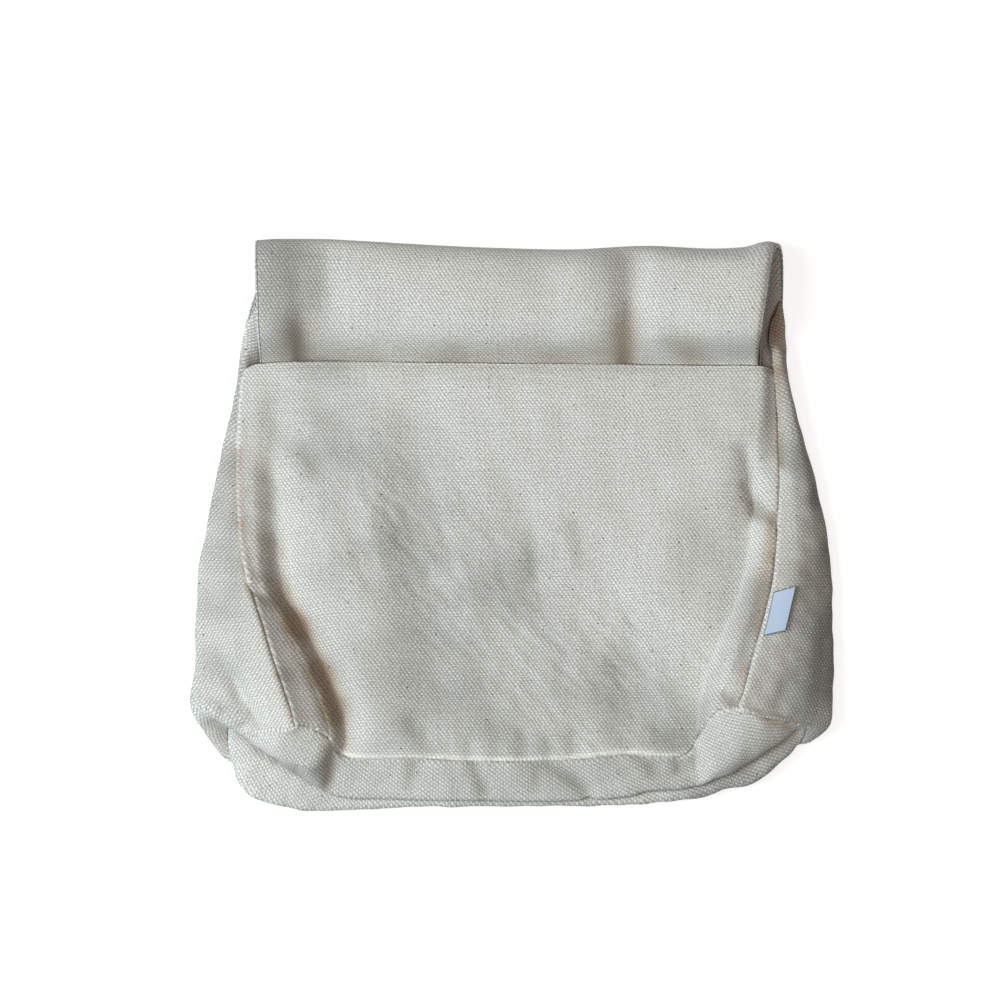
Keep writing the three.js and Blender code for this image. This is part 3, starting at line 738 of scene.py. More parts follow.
def loft(sections: Array, step: float, first: float, last: float) -> Array:
    """Grid over sections: each is resampled evenly along its spline, and splines join like points of them.

    Args:
        sections: Points of each section, sections along the first axis.
        step: Size of a grid cell.
        first: How far the cloth stops short of the first section, or less than nought to run on past it.
        last: How far it stops short of the last section.

    Returns:
        The grid, with sections down and each section's points across.
    """
    lengths = np.array([spline_length(section) for section in sections])
    columns = int(np.ceil(lengths.max() / step))
    shares = np.linspace(0, 1, columns + 1)
    across = np.stack([
        along(section, mix(SEAM_INSET / length, 1 - BACK_INSET / length, shares))
        for section, length in zip(sections, lengths)
    ])
    final = len(sections) - 1
    t, reach = measured(across[:, columns // 2])
    rows = int(np.ceil(reach[-1] / step))
    stations = np.interp(np.linspace(0, reach[-1], rows + 1), reach, t)
    gaps = np.linalg.norm(np.diff(across, axis=0), axis=-1)
    low = np.minimum(MOST_TRIM, first / gaps[0])
    high = final - np.minimum(MOST_TRIM, last / gaps[-1])
    rails = [spline(across[:, j], mix(low[j], high[j], stations / final)) for j in range(columns + 1)]
    return np.stack(rails, axis=1)


def cloth_lengths(grid: Array) -> Array:
    """Lengths across a grid of cloth from its middle column, and down that column.

    Args:
        grid: Points of the cloth.

    Returns:
        Both lengths for each point, in millimetres.
    """
    across = np.swapaxes(reach_along(np.swapaxes(grid, 0, 1)), 0, 1)
    centre = grid.shape[1] // 2
    down = np.broadcast_to(reach_along(grid)[:, centre:centre + 1], across.shape)
    return np.stack([across - across[:, centre:centre + 1], -down], axis=-1)


def relaxed(grid: Array, flat: Array, rounds: int) -> Array:
    """Flat places after rounds that pull every edge and diagonal of the grid towards its true length.

    Args:
        grid: Points of the cloth.
        flat: Their places on the flat cloth to begin with.
        rounds: How many rounds.

    Returns:
        Their better places on the flat cloth.
    """
    rows, cols = grid.shape[:2]
    ties = []
    for i, j in ((0, 1), (1, 0), (1, 1), (1, -1)):
        a = (slice(0, rows - i), slice(max(0, -j), cols - max(0, j)))
        b = (slice(i, rows), slice(max(0, j), cols - max(0, -j)))
        ties.append((a, b, np.linalg.norm(grid[b] - grid[a], axis=-1)))
    out = flat.copy()
    for _ in range(rounds):
        pull = np.zeros_like(out)
        for a, b, true_length in ties:
            span = out[b] - out[a]
            length = np.maximum(np.linalg.norm(span, axis=-1), TINY)
            move = span * ((1 - true_length / length) / 2)[..., None]
            pull[a] += move
            pull[b] -= move
        out += FLAT_PULL * pull
    return out


def flat_cloth(grid: Array) -> Array:
    """Lays a grid of cloth flat: its lengths are relaxed on ever finer picks of its points.

    Args:
        grid: Points of the cloth.

    Returns:
        Their places on the flat cloth, in millimetres.
    """
    flat = cloth_lengths(grid)
    rows, cols = np.arange(grid.shape[0]), np.arange(grid.shape[1])
    for pick, rounds in FLAT_ROUNDS.items():
        r = np.unique(np.append(rows[::pick], rows[-1]))
        c = np.unique(np.append(cols[::pick], cols[-1]))
        part = np.ix_(r, c)
        gain = relaxed(grid[part], flat[part], rounds) - flat[part]
        wide = np.stack([[np.interp(cols, c, row) for row in gain[..., k]] for k in range(2)], axis=-1)
        full = np.stack([[np.interp(rows, r, col) for col in wide[..., k].T] for k in range(2)], axis=-1)
        flat = flat + np.swapaxes(full, 0, 1)
    return flat


def place_object(name: str, data: bpy.types.ID) -> bpy.types.Object:
    """Makes an object and puts it into the scene.

    Args:
        name: The object's name.
        data: Its mesh, light or camera.

    Returns:
        The object.
    """
    obj = bpy.data.objects.new(name, data)
    bpy.context.scene.collection.objects.link(obj)
    return obj


def write_mesh(name: str, points: Array, quads: Array, uv: Array, masks: Array) -> bpy.types.Object:
    """Puts points and quads into a smooth mesh, with the flat cloth's lengths as its UV map.

    Args:
        name: The piece's name.
        points: Points, in millimetres.
        quads: Four points for each face.
        uv: Place of each point on the flat cloth, in millimetres.
        masks: How much painted warm shade lies on each point, and how much painted grey shade, or below
            nought painted highlight.

    Returns:
        The new object, in the scene.
    """
    mesh = bpy.data.meshes.new(name)
    mesh.from_pydata((points * MM).tolist(), [], quads.tolist())
    layer = mesh.uv_layers.new(name="cloth")
    corners = np.zeros(len(mesh.loops), np.int32)
    mesh.loops.foreach_get("vertex_index", corners)
    layer.data.foreach_set("uv", uv[corners].astype(np.float32).ravel())
    # Masks of painted warm shade, and of painted grey shade or, below nought, painted highlight
    for k, label in enumerate(("painted_warm_shade", "painted_shading")):
        layer = mesh.attributes.new(label, "FLOAT", "POINT")
        layer.data.foreach_set("value", masks[:, k].astype(np.float32))
    mesh.shade_smooth()
    mesh.update()
    return place_object(name, mesh)


@dataclass
class ClothPiece:
    """One piece of cloth: a grid of points, thickened to a closed sheet with rounded or turned borders."""

    name: str
    node: str
    slot: str
    flat: tuple[float, float]
    area: float
    held: str
    rests_on: list[str]
    outward: int = 1
    thickness: float = CLOTH
    seed: int = 1
    edges: tuple[Edge, Edge, Edge, Edge] = (Edge.FREE, Edge.FREE, Edge.FREE, Edge.FREE)
    # Tables of painted grey shade and painted warm shade laid on the piece, then of its creases
    grey_shade_at: Table | None = None
    warm_shade_at: Table | None = None
    creases: Table | None = None

    def grid(self) -> tuple[Array, Array]:
        """Points of the cloth's middle layer and their places on the flat cloth, both in millimetres."""
        raise NotImplementedError

    def roughened(self, points: Array, share: Array) -> tuple[Array, Array]:
        """Smooth cloth raised along its normals by creases and slight waves.

        Args:
            points: Points of the smooth cloth.
            share: Share of the creases for each column of points.

        Returns:
            The raised points and their places on the flat cloth.
        """
        lengths = flat_cloth(points)
        rough = share * fold_rise(self.creases, points[..., 0], points[..., 1])
        rough = rough + SIDE_WAVES.at(lengths[..., 0], lengths[..., 1], self.seed)
        return points + self.outward * normals(points) * rough[..., None], lengths

    def turned(self, grid: Array, lengths: Array, axis: int, end: int) -> tuple[Array, Array]:
        """Grid with a border turned inwards into its seam: a quarter round and a short straight.

        Args:
            grid: Points of the cloth.
            lengths: Their places on the flat cloth.
            axis: 0 for the first or last row, 1 for the first or last column.
            end: 0 for the first and -1 for the last.

        Returns:
            The longer grid and its places on the flat cloth.
        """
        radius, turn, depth = LIP["radius"], LIP["turn"], LIP["depth"]
        rows, flat = np.moveaxis(grid, axis, 0), np.moveaxis(lengths, axis, 0)
        face = unit(blur(self.outward * np.moveaxis(normals(grid), axis, 0)[end], LIP["even"], (0,)))
        inner = 1 if end == 0 else -2
        step = rows[end] - rows[inner]
        width = np.linalg.norm(step, axis=-1, keepdims=True)
        out = blur(unit(step), LIP["even"], (0,))
        out = unit(out - (out * face).sum(-1, keepdims=True) * face)
        angles = np.linspace(1 / LIP["steps"], 1, LIP["steps"]) * turn
        bend = [rows[end] + radius * (out * np.sin(a) - face * (1 - np.cos(a))) for a in angles]
        bend.append(bend[-1] + depth * (out * np.cos(turn) - face * np.sin(turn)))
        reach = np.concatenate([radius * angles, [radius * turn + depth]])
        slope = (flat[end] - flat[inner]) / np.maximum(width, TINY)
        more = [flat[end] + slope * r for r in reach]
        if end == 0:
            rows, flat = np.concatenate([bend[::-1], rows]), np.concatenate([more[::-1], flat])
        else:
            rows, flat = np.concatenate([rows, bend]), np.concatenate([flat, more])
        return np.moveaxis(rows, 0, axis), np.moveaxis(flat, 0, axis)

    def masks(self, grid: Array) -> Array:
        """Sums of bell curves beside the tables' lines and the creases, made uneven by slow waves.

        Args:
            grid: Points of the cloth.

        Returns:
            How much painted warm shade and painted grey shade each point takes, each from 0 to 1.
        """
        x, y = grid[..., 0], grid[..., 1]
        warm_shade, painted_shading, creased = (
            0 * x if rows is None else fold_rise(rows, x, y)
            for rows in (self.warm_shade_at, self.grey_shade_at, self.creases)
        )
        # Painted shade in crease troughs adds to both the warm and the grey shade; slow waves make all of it
        # uneven
        dip = np.maximum(0, -creased)
        both = np.stack([warm_shade + CREASE_WARM_SHADE * dip, painted_shading + CREASE_GREY_SHADE * dip], axis=-1)
        return np.clip(both * (1 + SHADE_PATCHES.at(x, y, self.seed))[..., None], 0, 1)

    def build(self) -> bpy.types.Object:
        """Makes the closed sheet: both faces of the grid, joined by half-round borders.

        Returns:
            The new object.
        """
        grid, lengths = self.grid()
        masks = self.masks(grid)
        for (axis, end), kind in zip(BORDERS, self.edges):
            if kind is Edge.SEAM:
                grid, lengths = self.turned(grid, lengths, axis, end)
                pad = [(0, 0), (0, 0), (0, 0)]
                extra = grid.shape[axis] - masks.shape[axis]
                pad[axis] = (extra, 0) if end == 0 else (0, extra)
                masks = np.pad(masks, pad, mode="edge")
        points, quads, source = self.thicken(grid)
        uv, masks = (values.reshape(-1, 2)[source] for values in (lengths, masks))
        return write_mesh(self.name, points, quads, uv, masks)

    def half_thickness(self, grid: Array) -> Array:
        """Half the cloth's thickness at each point of the grid."""
        return np.full(grid.shape[:2], self.thickness / 2)

    def thicken(self, grid: Array) -> tuple[Array, Array, Array]:
        """Closed sheet about a grid: a face on each side, and a half circle round the border between them.

        Args:
            grid: Points of the cloth's middle layer.

        Returns:
            Points, quads, and for each point the grid point that it comes from.
        """
        rows, cols = grid.shape[:2]
        half = self.half_thickness(grid).reshape(-1, 1)
        up = (self.outward * normals(grid)).reshape(-1, 3)
        index = np.arange(rows * cols).reshape(rows, cols)
        loop = np.concatenate([index[0, :-1], index[:-1, -1], index[-1, :0:-1], index[:0:-1, 0]])
        inner = np.clip(np.indices((rows, cols)), 1, np.array([rows - 2, cols - 2])[:, None, None])
        inside = grid[inner[0], inner[1]].reshape(-1, 3)[loop]
        flat = grid.reshape(-1, 3).copy()
        out = flat[loop] - inside
        out = unit(out - (out * up[loop]).sum(-1, keepdims=True) * up[loop])
        flat[loop] -= out * half[loop]
        angles = np.pi * np.arange(1, RIM_STEPS) / RIM_STEPS
        rings = [flat[loop] + half[loop] * (up[loop] * np.cos(a) + out * np.sin(a)) for a in angles]
        points = np.concatenate([flat + up * half, flat - up * half, *rings])
        corners = [index[:-1, :-1], index[1:, :-1], index[1:, 1:], index[:-1, 1:]]
        quad = np.stack(corners, axis=-1).reshape(-1, 4)
        size, count = rows * cols, len(loop)
        ring_starts = 2 * size + count * np.arange(len(rings))
        chain = [loop, *(start + np.arange(count) for start in ring_starts), loop + size]
        rim = [
            np.stack([a, b, np.roll(b, -1), np.roll(a, -1)], axis=-1)
            for a, b in zip(chain[:-1], chain[1:])
        ]
        quads = np.concatenate([quad, quad[:, ::-1] + size, *rim])
        source = np.concatenate([index.ravel(), index.ravel(), *[loop] * len(rings)])
        return points, quads[:, ::self.outward], source

    def dress(self, obj: bpy.types.Object, material: bpy.types.Material) -> None:
        """Gives the piece its material and its body, and hides the solid it stands for.

        Args:
            obj: The piece's object.
            material: Its material.
        """
        obj.data.materials.append(material)
        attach(obj, BODY)
        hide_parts(self.node)


@dataclass
class FrontPanel(ClothPiece):
    """The front panel: a patch between its four edges in plan, raised to its height."""

    step: float = 0.8
    least_level: float = 0.4
    yarn_shift: float = 0.35
    yarn_even: int = 8

    def grid(self) -> tuple[Array, Array]:
        """The patch: sides and ends blended less the blend of its corners, then lifted to its height.

        Returns:
            The points and their places on the flat cloth.
        """
        mouth, foot_seam = MOUTH_EDGE.points("x", "y"), PouchForm.bottom_seam()
        inset = SEAM_INSET / spline_length(foot_seam)
        run = SEAM_TOP_Y - FRONT_FOOT_Y
        across = int(round(spline_length(mouth) / self.step))
        down = int(round(run / self.step))
        u = np.linspace(inset, 1 - inset, across + 1)
        top, foot = along(mouth, u), along(foot_seam, u)[:, :2]
        level = np.abs(unit(np.gradient(foot, axis=0))[:, 0])
        inset_down = SEAM_INSET / np.maximum(level, self.least_level) / run
        v = np.linspace(0, 1, down + 1)[:, None] * (1 - inset_down)

        def seam_points(side: int, share: Array) -> Array:
            """Points down a side seam, at shares of its run from the mouth to its corner."""
            _, seam, end = SIDES[side]
            y = mix(SEAM_TOP_Y, end["y"][0], share)
            return np.stack([seam.at("y", "x", y), y], axis=-1)

        left, right = (seam_points(side, v) for side in SIDES)
        left_ends, right_ends = (seam_points(side, np.array([0.0, 1.0])) for side in SIDES)
        uu, vv = u[None, :, None], v[..., None]
        sides = mix(left, right, uu)
        lids = mix(top[None], foot[None], vv)
        corners = mix(mix(left_ends[0], right_ends[0], uu), mix(left_ends[1], right_ends[1], uu), vv)
        plan = sides + lids - corners
        x, y = plan[..., 0], plan[..., 1]
        points = PouchForm.front_points(x, y)
        streaks = STREAK_WAVES.at((x + y) / np.sqrt(2), (x - y) / np.sqrt(2) / STREAK_LENGTH, self.seed)
        points[..., 2] += fold_rise(self.creases, x, y) + FRONT_WAVES.at(x, y, self.seed)
        points[..., 2] += fold_rise(FRONT_STREAKS, x, y) * streaks
        points[..., 2] -= MOUTH_LIP["drop"] * self.near_mouth(down + 1)
        return points, self.straight_yarns(points)

    def near_mouth(self, rows: int) -> Array:
        """Soft step over the rows of the grid, from 1 at the mouth to 0 where its lip begins."""
        return smooth(1 - np.arange(rows)[:, None] * self.step / MOUTH_LIP["run"])

    def half_thickness(self, grid: Array) -> Array:
        """Half the cloth's thickness, which thins by a soft step towards the mouth."""
        return super().half_thickness(grid) * (1 - MOUTH_LIP["thin"] * self.near_mouth(len(grid)))

    def masks(self, grid: Array) -> Array:
        """The panel's masks, where a painted highlight, as grey shade below nought, pales the edge along the
        foot by a bell curve.

        Args:
            grid: Points of the cloth.

        Returns:
            How much painted warm shade lies on each point, and how much painted grey shade, or below nought
            painted highlight.
        """
        masks = super().masks(grid)
        # Painted highlight along the foot seam: negative grey shade in a bell curve from the seam, fading
        # towards the corners
        from_foot = np.arange(len(grid))[::-1, None] * self.step
        between = smooth((FOOT_SEAM_HIGHLIGHT["to_x"] - np.abs(grid[..., 0])) / FOOT_SEAM_HIGHLIGHT["run"])
        masks[..., 1] -= FOOT_SEAM_HIGHLIGHT["pale"] * between * np.exp(-((from_foot / FOOT_SEAM_HIGHLIGHT["half"]) ** 2))
        return masks

    def straight_yarns(self, points: Array) -> Array:
        """Lengths along and across yarns that run straight in plan and shift with the evened height.

        Args:
            points: Points of the cloth.

        Returns:
            Both lengths for each point, in millimetres.
        """
        height = blur(points[..., 2], self.yarn_even, (0, 1))
        lift = self.yarn_shift * (height - height.mean())
        return np.stack([points[..., 0] + lift, points[..., 1] - lift], axis=-1)


@dataclass
class Gusset(ClothPiece):
    """A side gusset: lofted down its sections from the mouth to the bottom panel."""

    side: int = -1
    step: float = 0.8
    run_on: float = 0.0

    def grid(self) -> tuple[Array, Array]:
        """The loft, which may run on under the flap, with folds where it faces up.

        Returns:
            The points and their places on the flat cloth.
        """
        points = loft(PouchForm.gusset_sections(self.side), self.step, -self.run_on, END_INSET)
        share = np.linspace(0, 1, points.shape[1])
        off_seam = smooth(share / FOLDS_FROM)
        upper = off_seam * smooth((FOLDS_TO - share) / (FOLDS_TO - FOLDS_FROM))
        points[..., 2] += upper * fold_rise(GUSSET_FOLDS, points[..., 0], points[..., 1])
        inner = off_seam * smooth((GUSSET_CREASES_TO["share"] - share) / GUSSET_CREASES_TO["run"])
        return self.roughened(points, inner)


@dataclass
class BottomPanel(ClothPiece):
    """The bottom panel: lofted from one end seam to the other, folded in two along its length."""

    step: float = 0.8

    def grid(self) -> tuple[Array, Array]:
        """The loft, with the puckers that its front seam draws.

        Returns:
            The points and their places on the flat cloth.
        """
        points = loft(PouchForm.bottom_sections(), self.step, END_INSET, END_INSET)
        share = np.linspace(0, 1, points.shape[1])
        front = smooth((BOTTOM_CREASES_TO["share"] - share) / BOTTOM_CREASES_TO["run"])
        return self.roughened(points, front)


@dataclass
class BackPanelFlap(ClothPiece):
    """The back panel and its flap in one strip: flat on the table, over the fold, and down into the mouth."""

    across: int = 190
    step: float = 0.9
    lying_rows: int = 28
    lying_to: float = 0.96

    def grid(self) -> tuple[Array, Array]:
        """The lying part between the other pieces' back edges, then the strip along its path.

        Returns:
            The points and their places on the flat cloth.
        """
        w = np.linspace(0, 1, self.across + 1)
        v = np.linspace(0, self.lying_to, self.lying_rows)[:, None]
        left, right = (
            Table("x y", PouchForm.gusset_sections(side)[:, -1, :2] + [side * BACK_MARGIN, 0])
            for side in SIDES
        )
        hem = PouchForm.bottom_sections()[:, -1, :2] - [0, BACK_MARGIN]
        first, last = hem[0], hem[-1]
        chord = mix(first[1], last[1], w)
        swell = Table("x y", hem).at("x", "y", mix(first[0], last[0], w)) - chord
        y = mix(chord, STRIP["y"][0], v)
        x = mix(left.at("y", "x", y), right.at("y", "x", y), w)
        flat_part = np.stack([x, y + swell * (1 - v), np.full_like(x, BACK_Z)], axis=-1)
        points = np.concatenate([flat_part, self.strip(w)])
        return points, cloth_lengths(points)

    def masks(self, grid: Array) -> Array:
        """The flap's masks, which leave out the lying part."""
        return super().masks(grid) * smooth((grid[..., 2:] - BACK_Z) / BACK_Z)

    def strip(self, w: Array) -> Array:
        """The strip: its path over the fold is carried across between its edges, then raised by its folds.

        Args:
            w: Shares across the strip.

        Returns:
            The points, with the strip's path down and its width across.
        """
        path = STRIP.points("y", "z")
        t, reach = measured(path)
        at = np.interp(np.linspace(0, reach[-1], int(reach[-1] / self.step) + 1), reach, t)
        stations = np.arange(len(path), dtype=float)
        names = ("left", "right", "wave")
        columns = Table("t left right wave", np.column_stack([stations, STRIP.points(*names)]))
        left, right, wave = (columns.at("t", name, at)[:, None] for name in names)
        line = spline(path, at)
        x = mix(left, right, w)
        y, z = line[:, :1] + 0 * x, line[:, 1:] + 0 * x
        over = smooth((at / stations[-1] - FLAP_START["share"]) / FLAP_START["run"])[:, None]
        rise = fold_rise(FLAP_FOLDS, x, y) + fold_rise(self.creases, x, y) + FLAP_WAVES.at(x, y, self.seed)
        rise = rise * np.where(rise > 0, smooth((y - FLAP_FADE["from_y"]) / FLAP_FADE["run"]), 1)
        y = y + wave * FOLD_LINE.at("x", "dy", x)
        points = np.stack([x, y, np.maximum(BACK_Z, z + over * rise)], axis=-1)
        ledge = 1 - smooth((right - x - LEDGE["width"]) / LEDGE["run"])
        return points - normals(points) * (over * ledge * LEDGE["drop"])[..., None]


@dataclass
class LabelTab(ClothPiece):
    """A folded tape that stands out of the right seam, clear of the gusset below it."""

    side: int = 1
    reach: float = 0.75
    width: float = 6.7
    gap: float = 0.35
    lift: float = 0.12
    counts: tuple[int, int] = (28, 18)

    def grid(self) -> tuple[Array, Array]:
        """The tape, at a height above the gusset's loft that grows from the seam outwards.

        Returns:
            The points and their places on the flat cloth.
        """
        sections = PouchForm.gusset_sections(self.side)
        down = np.linspace(0, 1, self.counts[0] + 1)
        out = np.linspace(0, self.width, self.counts[1] + 1)
        rails = np.stack([
            along(section, (self.reach + out) / spline_length(section)) for section in sections
        ])
        rows = LABEL_ROWS
        columns = []
        for j, far in enumerate(out):
            station = mix(rows["top"], rows["foot"], down) - rows["skew"] * far / self.width
            columns.append(spline(rails[:, j], station))
        base = np.stack(columns, axis=1)
        clear = BACK_Z + self.gap + self.thickness / 2 + out * self.lift
        points = base + self.outward * normals(base) * clear[None, :, None]
        return points, cloth_lengths(points)


class NodeTree:
    """Short hand for making and joining the nodes of one material or node group."""

    def __init__(self, tree: bpy.types.NodeTree) -> None:
        """Keeps the tree."""
        self.tree = tree

    def add(self, kind: str, inputs: dict | None = None, **settings: object) -> bpy.types.Node:
        """Makes a node.

        Args:
            kind: Blender's name of the node.
            inputs: Value or source socket for each input, by name or place.
            settings: The node's own settings.

        Returns:
            The node.
        """
        node = self.tree.nodes.new(kind)
        for name, value in settings.items():
            setattr(node, name, value)
        for key, value in (inputs or {}).items():
            if isinstance(value, Socket):
                self.tree.links.new(value, node.inputs[key])
            else:
                node.inputs[key].default_value = value
        return node

    def math(self, operation: str, *values: object) -> Socket:
        """Output of a math node on up to three values or sockets."""
        return self.add("ShaderNodeMath", dict(enumerate(values)), operation=operation).outputs[0]

    def vector(self, operation: str, inputs: dict) -> Socket:
        """Output of a vector math node."""
        return self.add("ShaderNodeVectorMath", inputs, operation=operation).outputs[0]

    def noise(self, vector: Socket, scale: float, detail: float) -> bpy.types.Node:
        """A noise node on a vector."""
        return self.add("ShaderNodeTexNoise", {"Vector": vector, "Scale": scale, "Detail": detail})

    def attribute(self, name: str) -> Socket:
        """A mask of the mesh."""
        return self.add("ShaderNodeAttribute", attribute_name=name).outputs["Fac"]

    def clamp(self, value: Socket) -> Socket:
        """The value held between 0 and 1."""
        return self.add("ShaderNodeClamp", {0: value}).outputs[0]

    def blend(self, share: object, a: object, b: object, kind: str = "MIX") -> Socket:
        """Output of a colour mix from a to b."""
        return self.add("ShaderNodeMix", {0: share, 6: a, 7: b}, data_type="RGBA", blend_type=kind).outputs[2]


def shader_group(name: str, sizes: tuple[str, ...], results: tuple[str, ...]) -> tuple[NodeTree, object]:
    """Makes an empty shader node group that works on the cloth's lengths.

    Args:
        name: The group's name.
        sizes: Names of its number inputs.
        results: Names of its number outputs.

    Returns:
        The group's tree and the sockets of its input node.
    """
    group = bpy.data.node_groups.new(name, "ShaderNodeTree")
    group.interface.new_socket(name="Lengths", in_out="INPUT", socket_type="NodeSocketVector")
    for labels, way in ((sizes, "INPUT"), (results, "OUTPUT")):
        for label in labels:
            group.interface.new_socket(name=label, in_out=way, socket_type="NodeSocketFloat")
    tree = NodeTree(group)
    return tree, tree.add("NodeGroupInput").outputs


def weave_group() -> bpy.types.NodeTree:
    """Plain weave on lengths in millimetres: two crossed sets of cosine diagonals, one of them stronger.

    Yarns wander by a slow noise, and each one's thickness varies along stretched noise.

    Returns:
        The group's tree.
    """
    drift_scale, row_share, relief, middle = 0.11, 0.43, 0.365, 0.5
    yarn_scales = ((1.4, 0.05, 1.0), (0.05, 1.1, 1.0))
    pitches = ("Warp pitch", "Weft pitch")
    tree, here = shader_group("plain_weave", (*pitches, "Lean", "Wander"), ("Height", "Yarns"))
    drift = tree.noise(here["Lengths"], drift_scale, 2.0).outputs["Color"]
    shift = tree.vector("SUBTRACT", {0: drift, 1: (middle, middle, middle)})
    move = tree.vector("SCALE", {0: shift, "Scale": here["Wander"]})
    place = tree.vector("ADD", {0: here["Lengths"], 1: move})
    part = tree.add("ShaderNodeSeparateXYZ", {0: place}).outputs
    a, b = (
        tree.math("MULTIPLY", tree.math("DIVIDE", part[k], here[pitch]), np.pi)
        for k, pitch in enumerate(pitches)
    )
    strong = tree.math("MULTIPLY", tree.math("COSINE", tree.math("ADD", a, b)), here["Lean"])
    rest = tree.math("SUBTRACT", 1.0, here["Lean"])
    weak = tree.math("MULTIPLY", tree.math("COSINE", tree.math("SUBTRACT", a, b)), rest)
    rows = tree.math("MULTIPLY", tree.math("COSINE", tree.math("MULTIPLY", b, 2.0)), row_share)
    height = tree.math("MULTIPLY_ADD", tree.math("ADD", tree.math("ADD", strong, weak), rows), relief, middle)
    stretched = [
        tree.add("ShaderNodeMapping", {"Vector": place, "Scale": scale}).outputs[0] for scale in yarn_scales
    ]
    warp, weft = (tree.noise(vector, 1.0, 1.0).outputs[0] for vector in stretched)
    yarns = tree.math("DIVIDE", tree.math("ADD", warp, weft), 2.0)
    tree.add("NodeGroupOutput", {"Height": height, "Yarns": yarns})
    return tree.tree


def fleck_group() -> bpy.types.NodeTree:
    """Scattered flecks: the nearest of jittered dots, where its cell's own random number is below a share.

    Returns:
        The group's tree.
    """
    edge = 2.0
    tree, here = shader_group("seed_flecks", ("Spacing", "Radius", "Share"), ("Mask",))
    scale = tree.math("DIVIDE", 1.0, here["Spacing"])
    inputs = {"Vector": here["Lengths"], "Scale": scale}
    dots = tree.add("ShaderNodeTexVoronoi", inputs, voronoi_dimensions="2D").outputs
    away = tree.math("MULTIPLY", dots["Distance"], here["Spacing"])
    inside = tree.math("SUBTRACT", 1.0, tree.math("DIVIDE", away, here["Radius"]))
    chance = tree.add("ShaderNodeSeparateColor", {0: dots["Color"]})
    chosen = tree.math("LESS_THAN", chance.outputs[0], here["Share"])
    soft = tree.math("MULTIPLY", tree.math("MULTIPLY", inside, edge), chosen)
    tree.add("NodeGroupOutput", {"Mask": tree.clamp(soft)})
    return tree.tree


@dataclass(frozen=True)
class WovenFinish:
    """A plain-woven cloth: the colours on and between its yarns, how they lie and how they take the light."""

    name: str
    crown: Colour
    gap: Colour
    warp_pitch: float
    weft_pitch: float
    lean: float
    wander: float
    bump: float
    bump_strength: float
    roughness: float
    specular: float
    sheen: float = 0.0
    sheen_roughness: float = 0.5

    def coloured(
        self, tree: NodeTree, lengths: Socket, height: Socket, yarns: Socket
    ) -> tuple[Socket, Socket]:
        """The cloth's colour and the height that its relief follows.

        Args:
            tree: The material's tree.
            lengths: Lengths on the flat cloth.
            height: The weave's height.
            yarns: How thick its yarns are.

        Returns:
            The colour and the height.
        """
        return tree.blend(height, self.gap, self.crown), height

    def material(self, weave: bpy.types.NodeTree) -> bpy.types.Material:
        """Builds the material.

        Args:
            weave: The plain weave group.

        Returns:
            The material.
        """
        made = bpy.data.materials.new(self.name)
        made.use_nodes = True
        made.node_tree.nodes.clear()
        tree = NodeTree(made.node_tree)
        lengths = tree.add("ShaderNodeUVMap", uv_map="cloth").outputs[0]
        cloth = tree.add("ShaderNodeGroup", {
            "Lengths": lengths, "Warp pitch": self.warp_pitch, "Weft pitch": self.weft_pitch,
            "Lean": self.lean, "Wander": self.wander,
        }, node_tree=weave)
        colour, height = self.coloured(tree, lengths, *cloth.outputs)
        relief = {"Strength": self.bump_strength, "Distance": self.bump, "Height": height}
        surface = tree.add("ShaderNodeBsdfPrincipled", {
            "Base Color": colour, "Roughness": self.roughness, "Specular IOR Level": self.specular,
            "Sheen Weight": self.sheen, "Sheen Roughness": self.sheen_roughness,
            "Normal": tree.add("ShaderNodeBump", relief).outputs[0],
        })
        tree.add("ShaderNodeOutputMaterial", {"Surface": surface.outputs[0]})
        return made


@dataclass(frozen=True)
class TapeFinish(WovenFinish):
    """White label tape: a very fine weave, nearly plain."""

    name: str = "white_label_tape"
    crown: Colour = (0.595, 0.685, 0.815, 1)
    gap: Colour = (0.50, 0.58, 0.70, 1)
    warp_pitch: float = 0.24
    weft_pitch: float = 0.24
    lean: float = 0.5
    wander: float = 0.2
    bump: float = 0.00003
    bump_strength: float = 0.3
    roughness: float = 0.7
    specular: float = 0.3


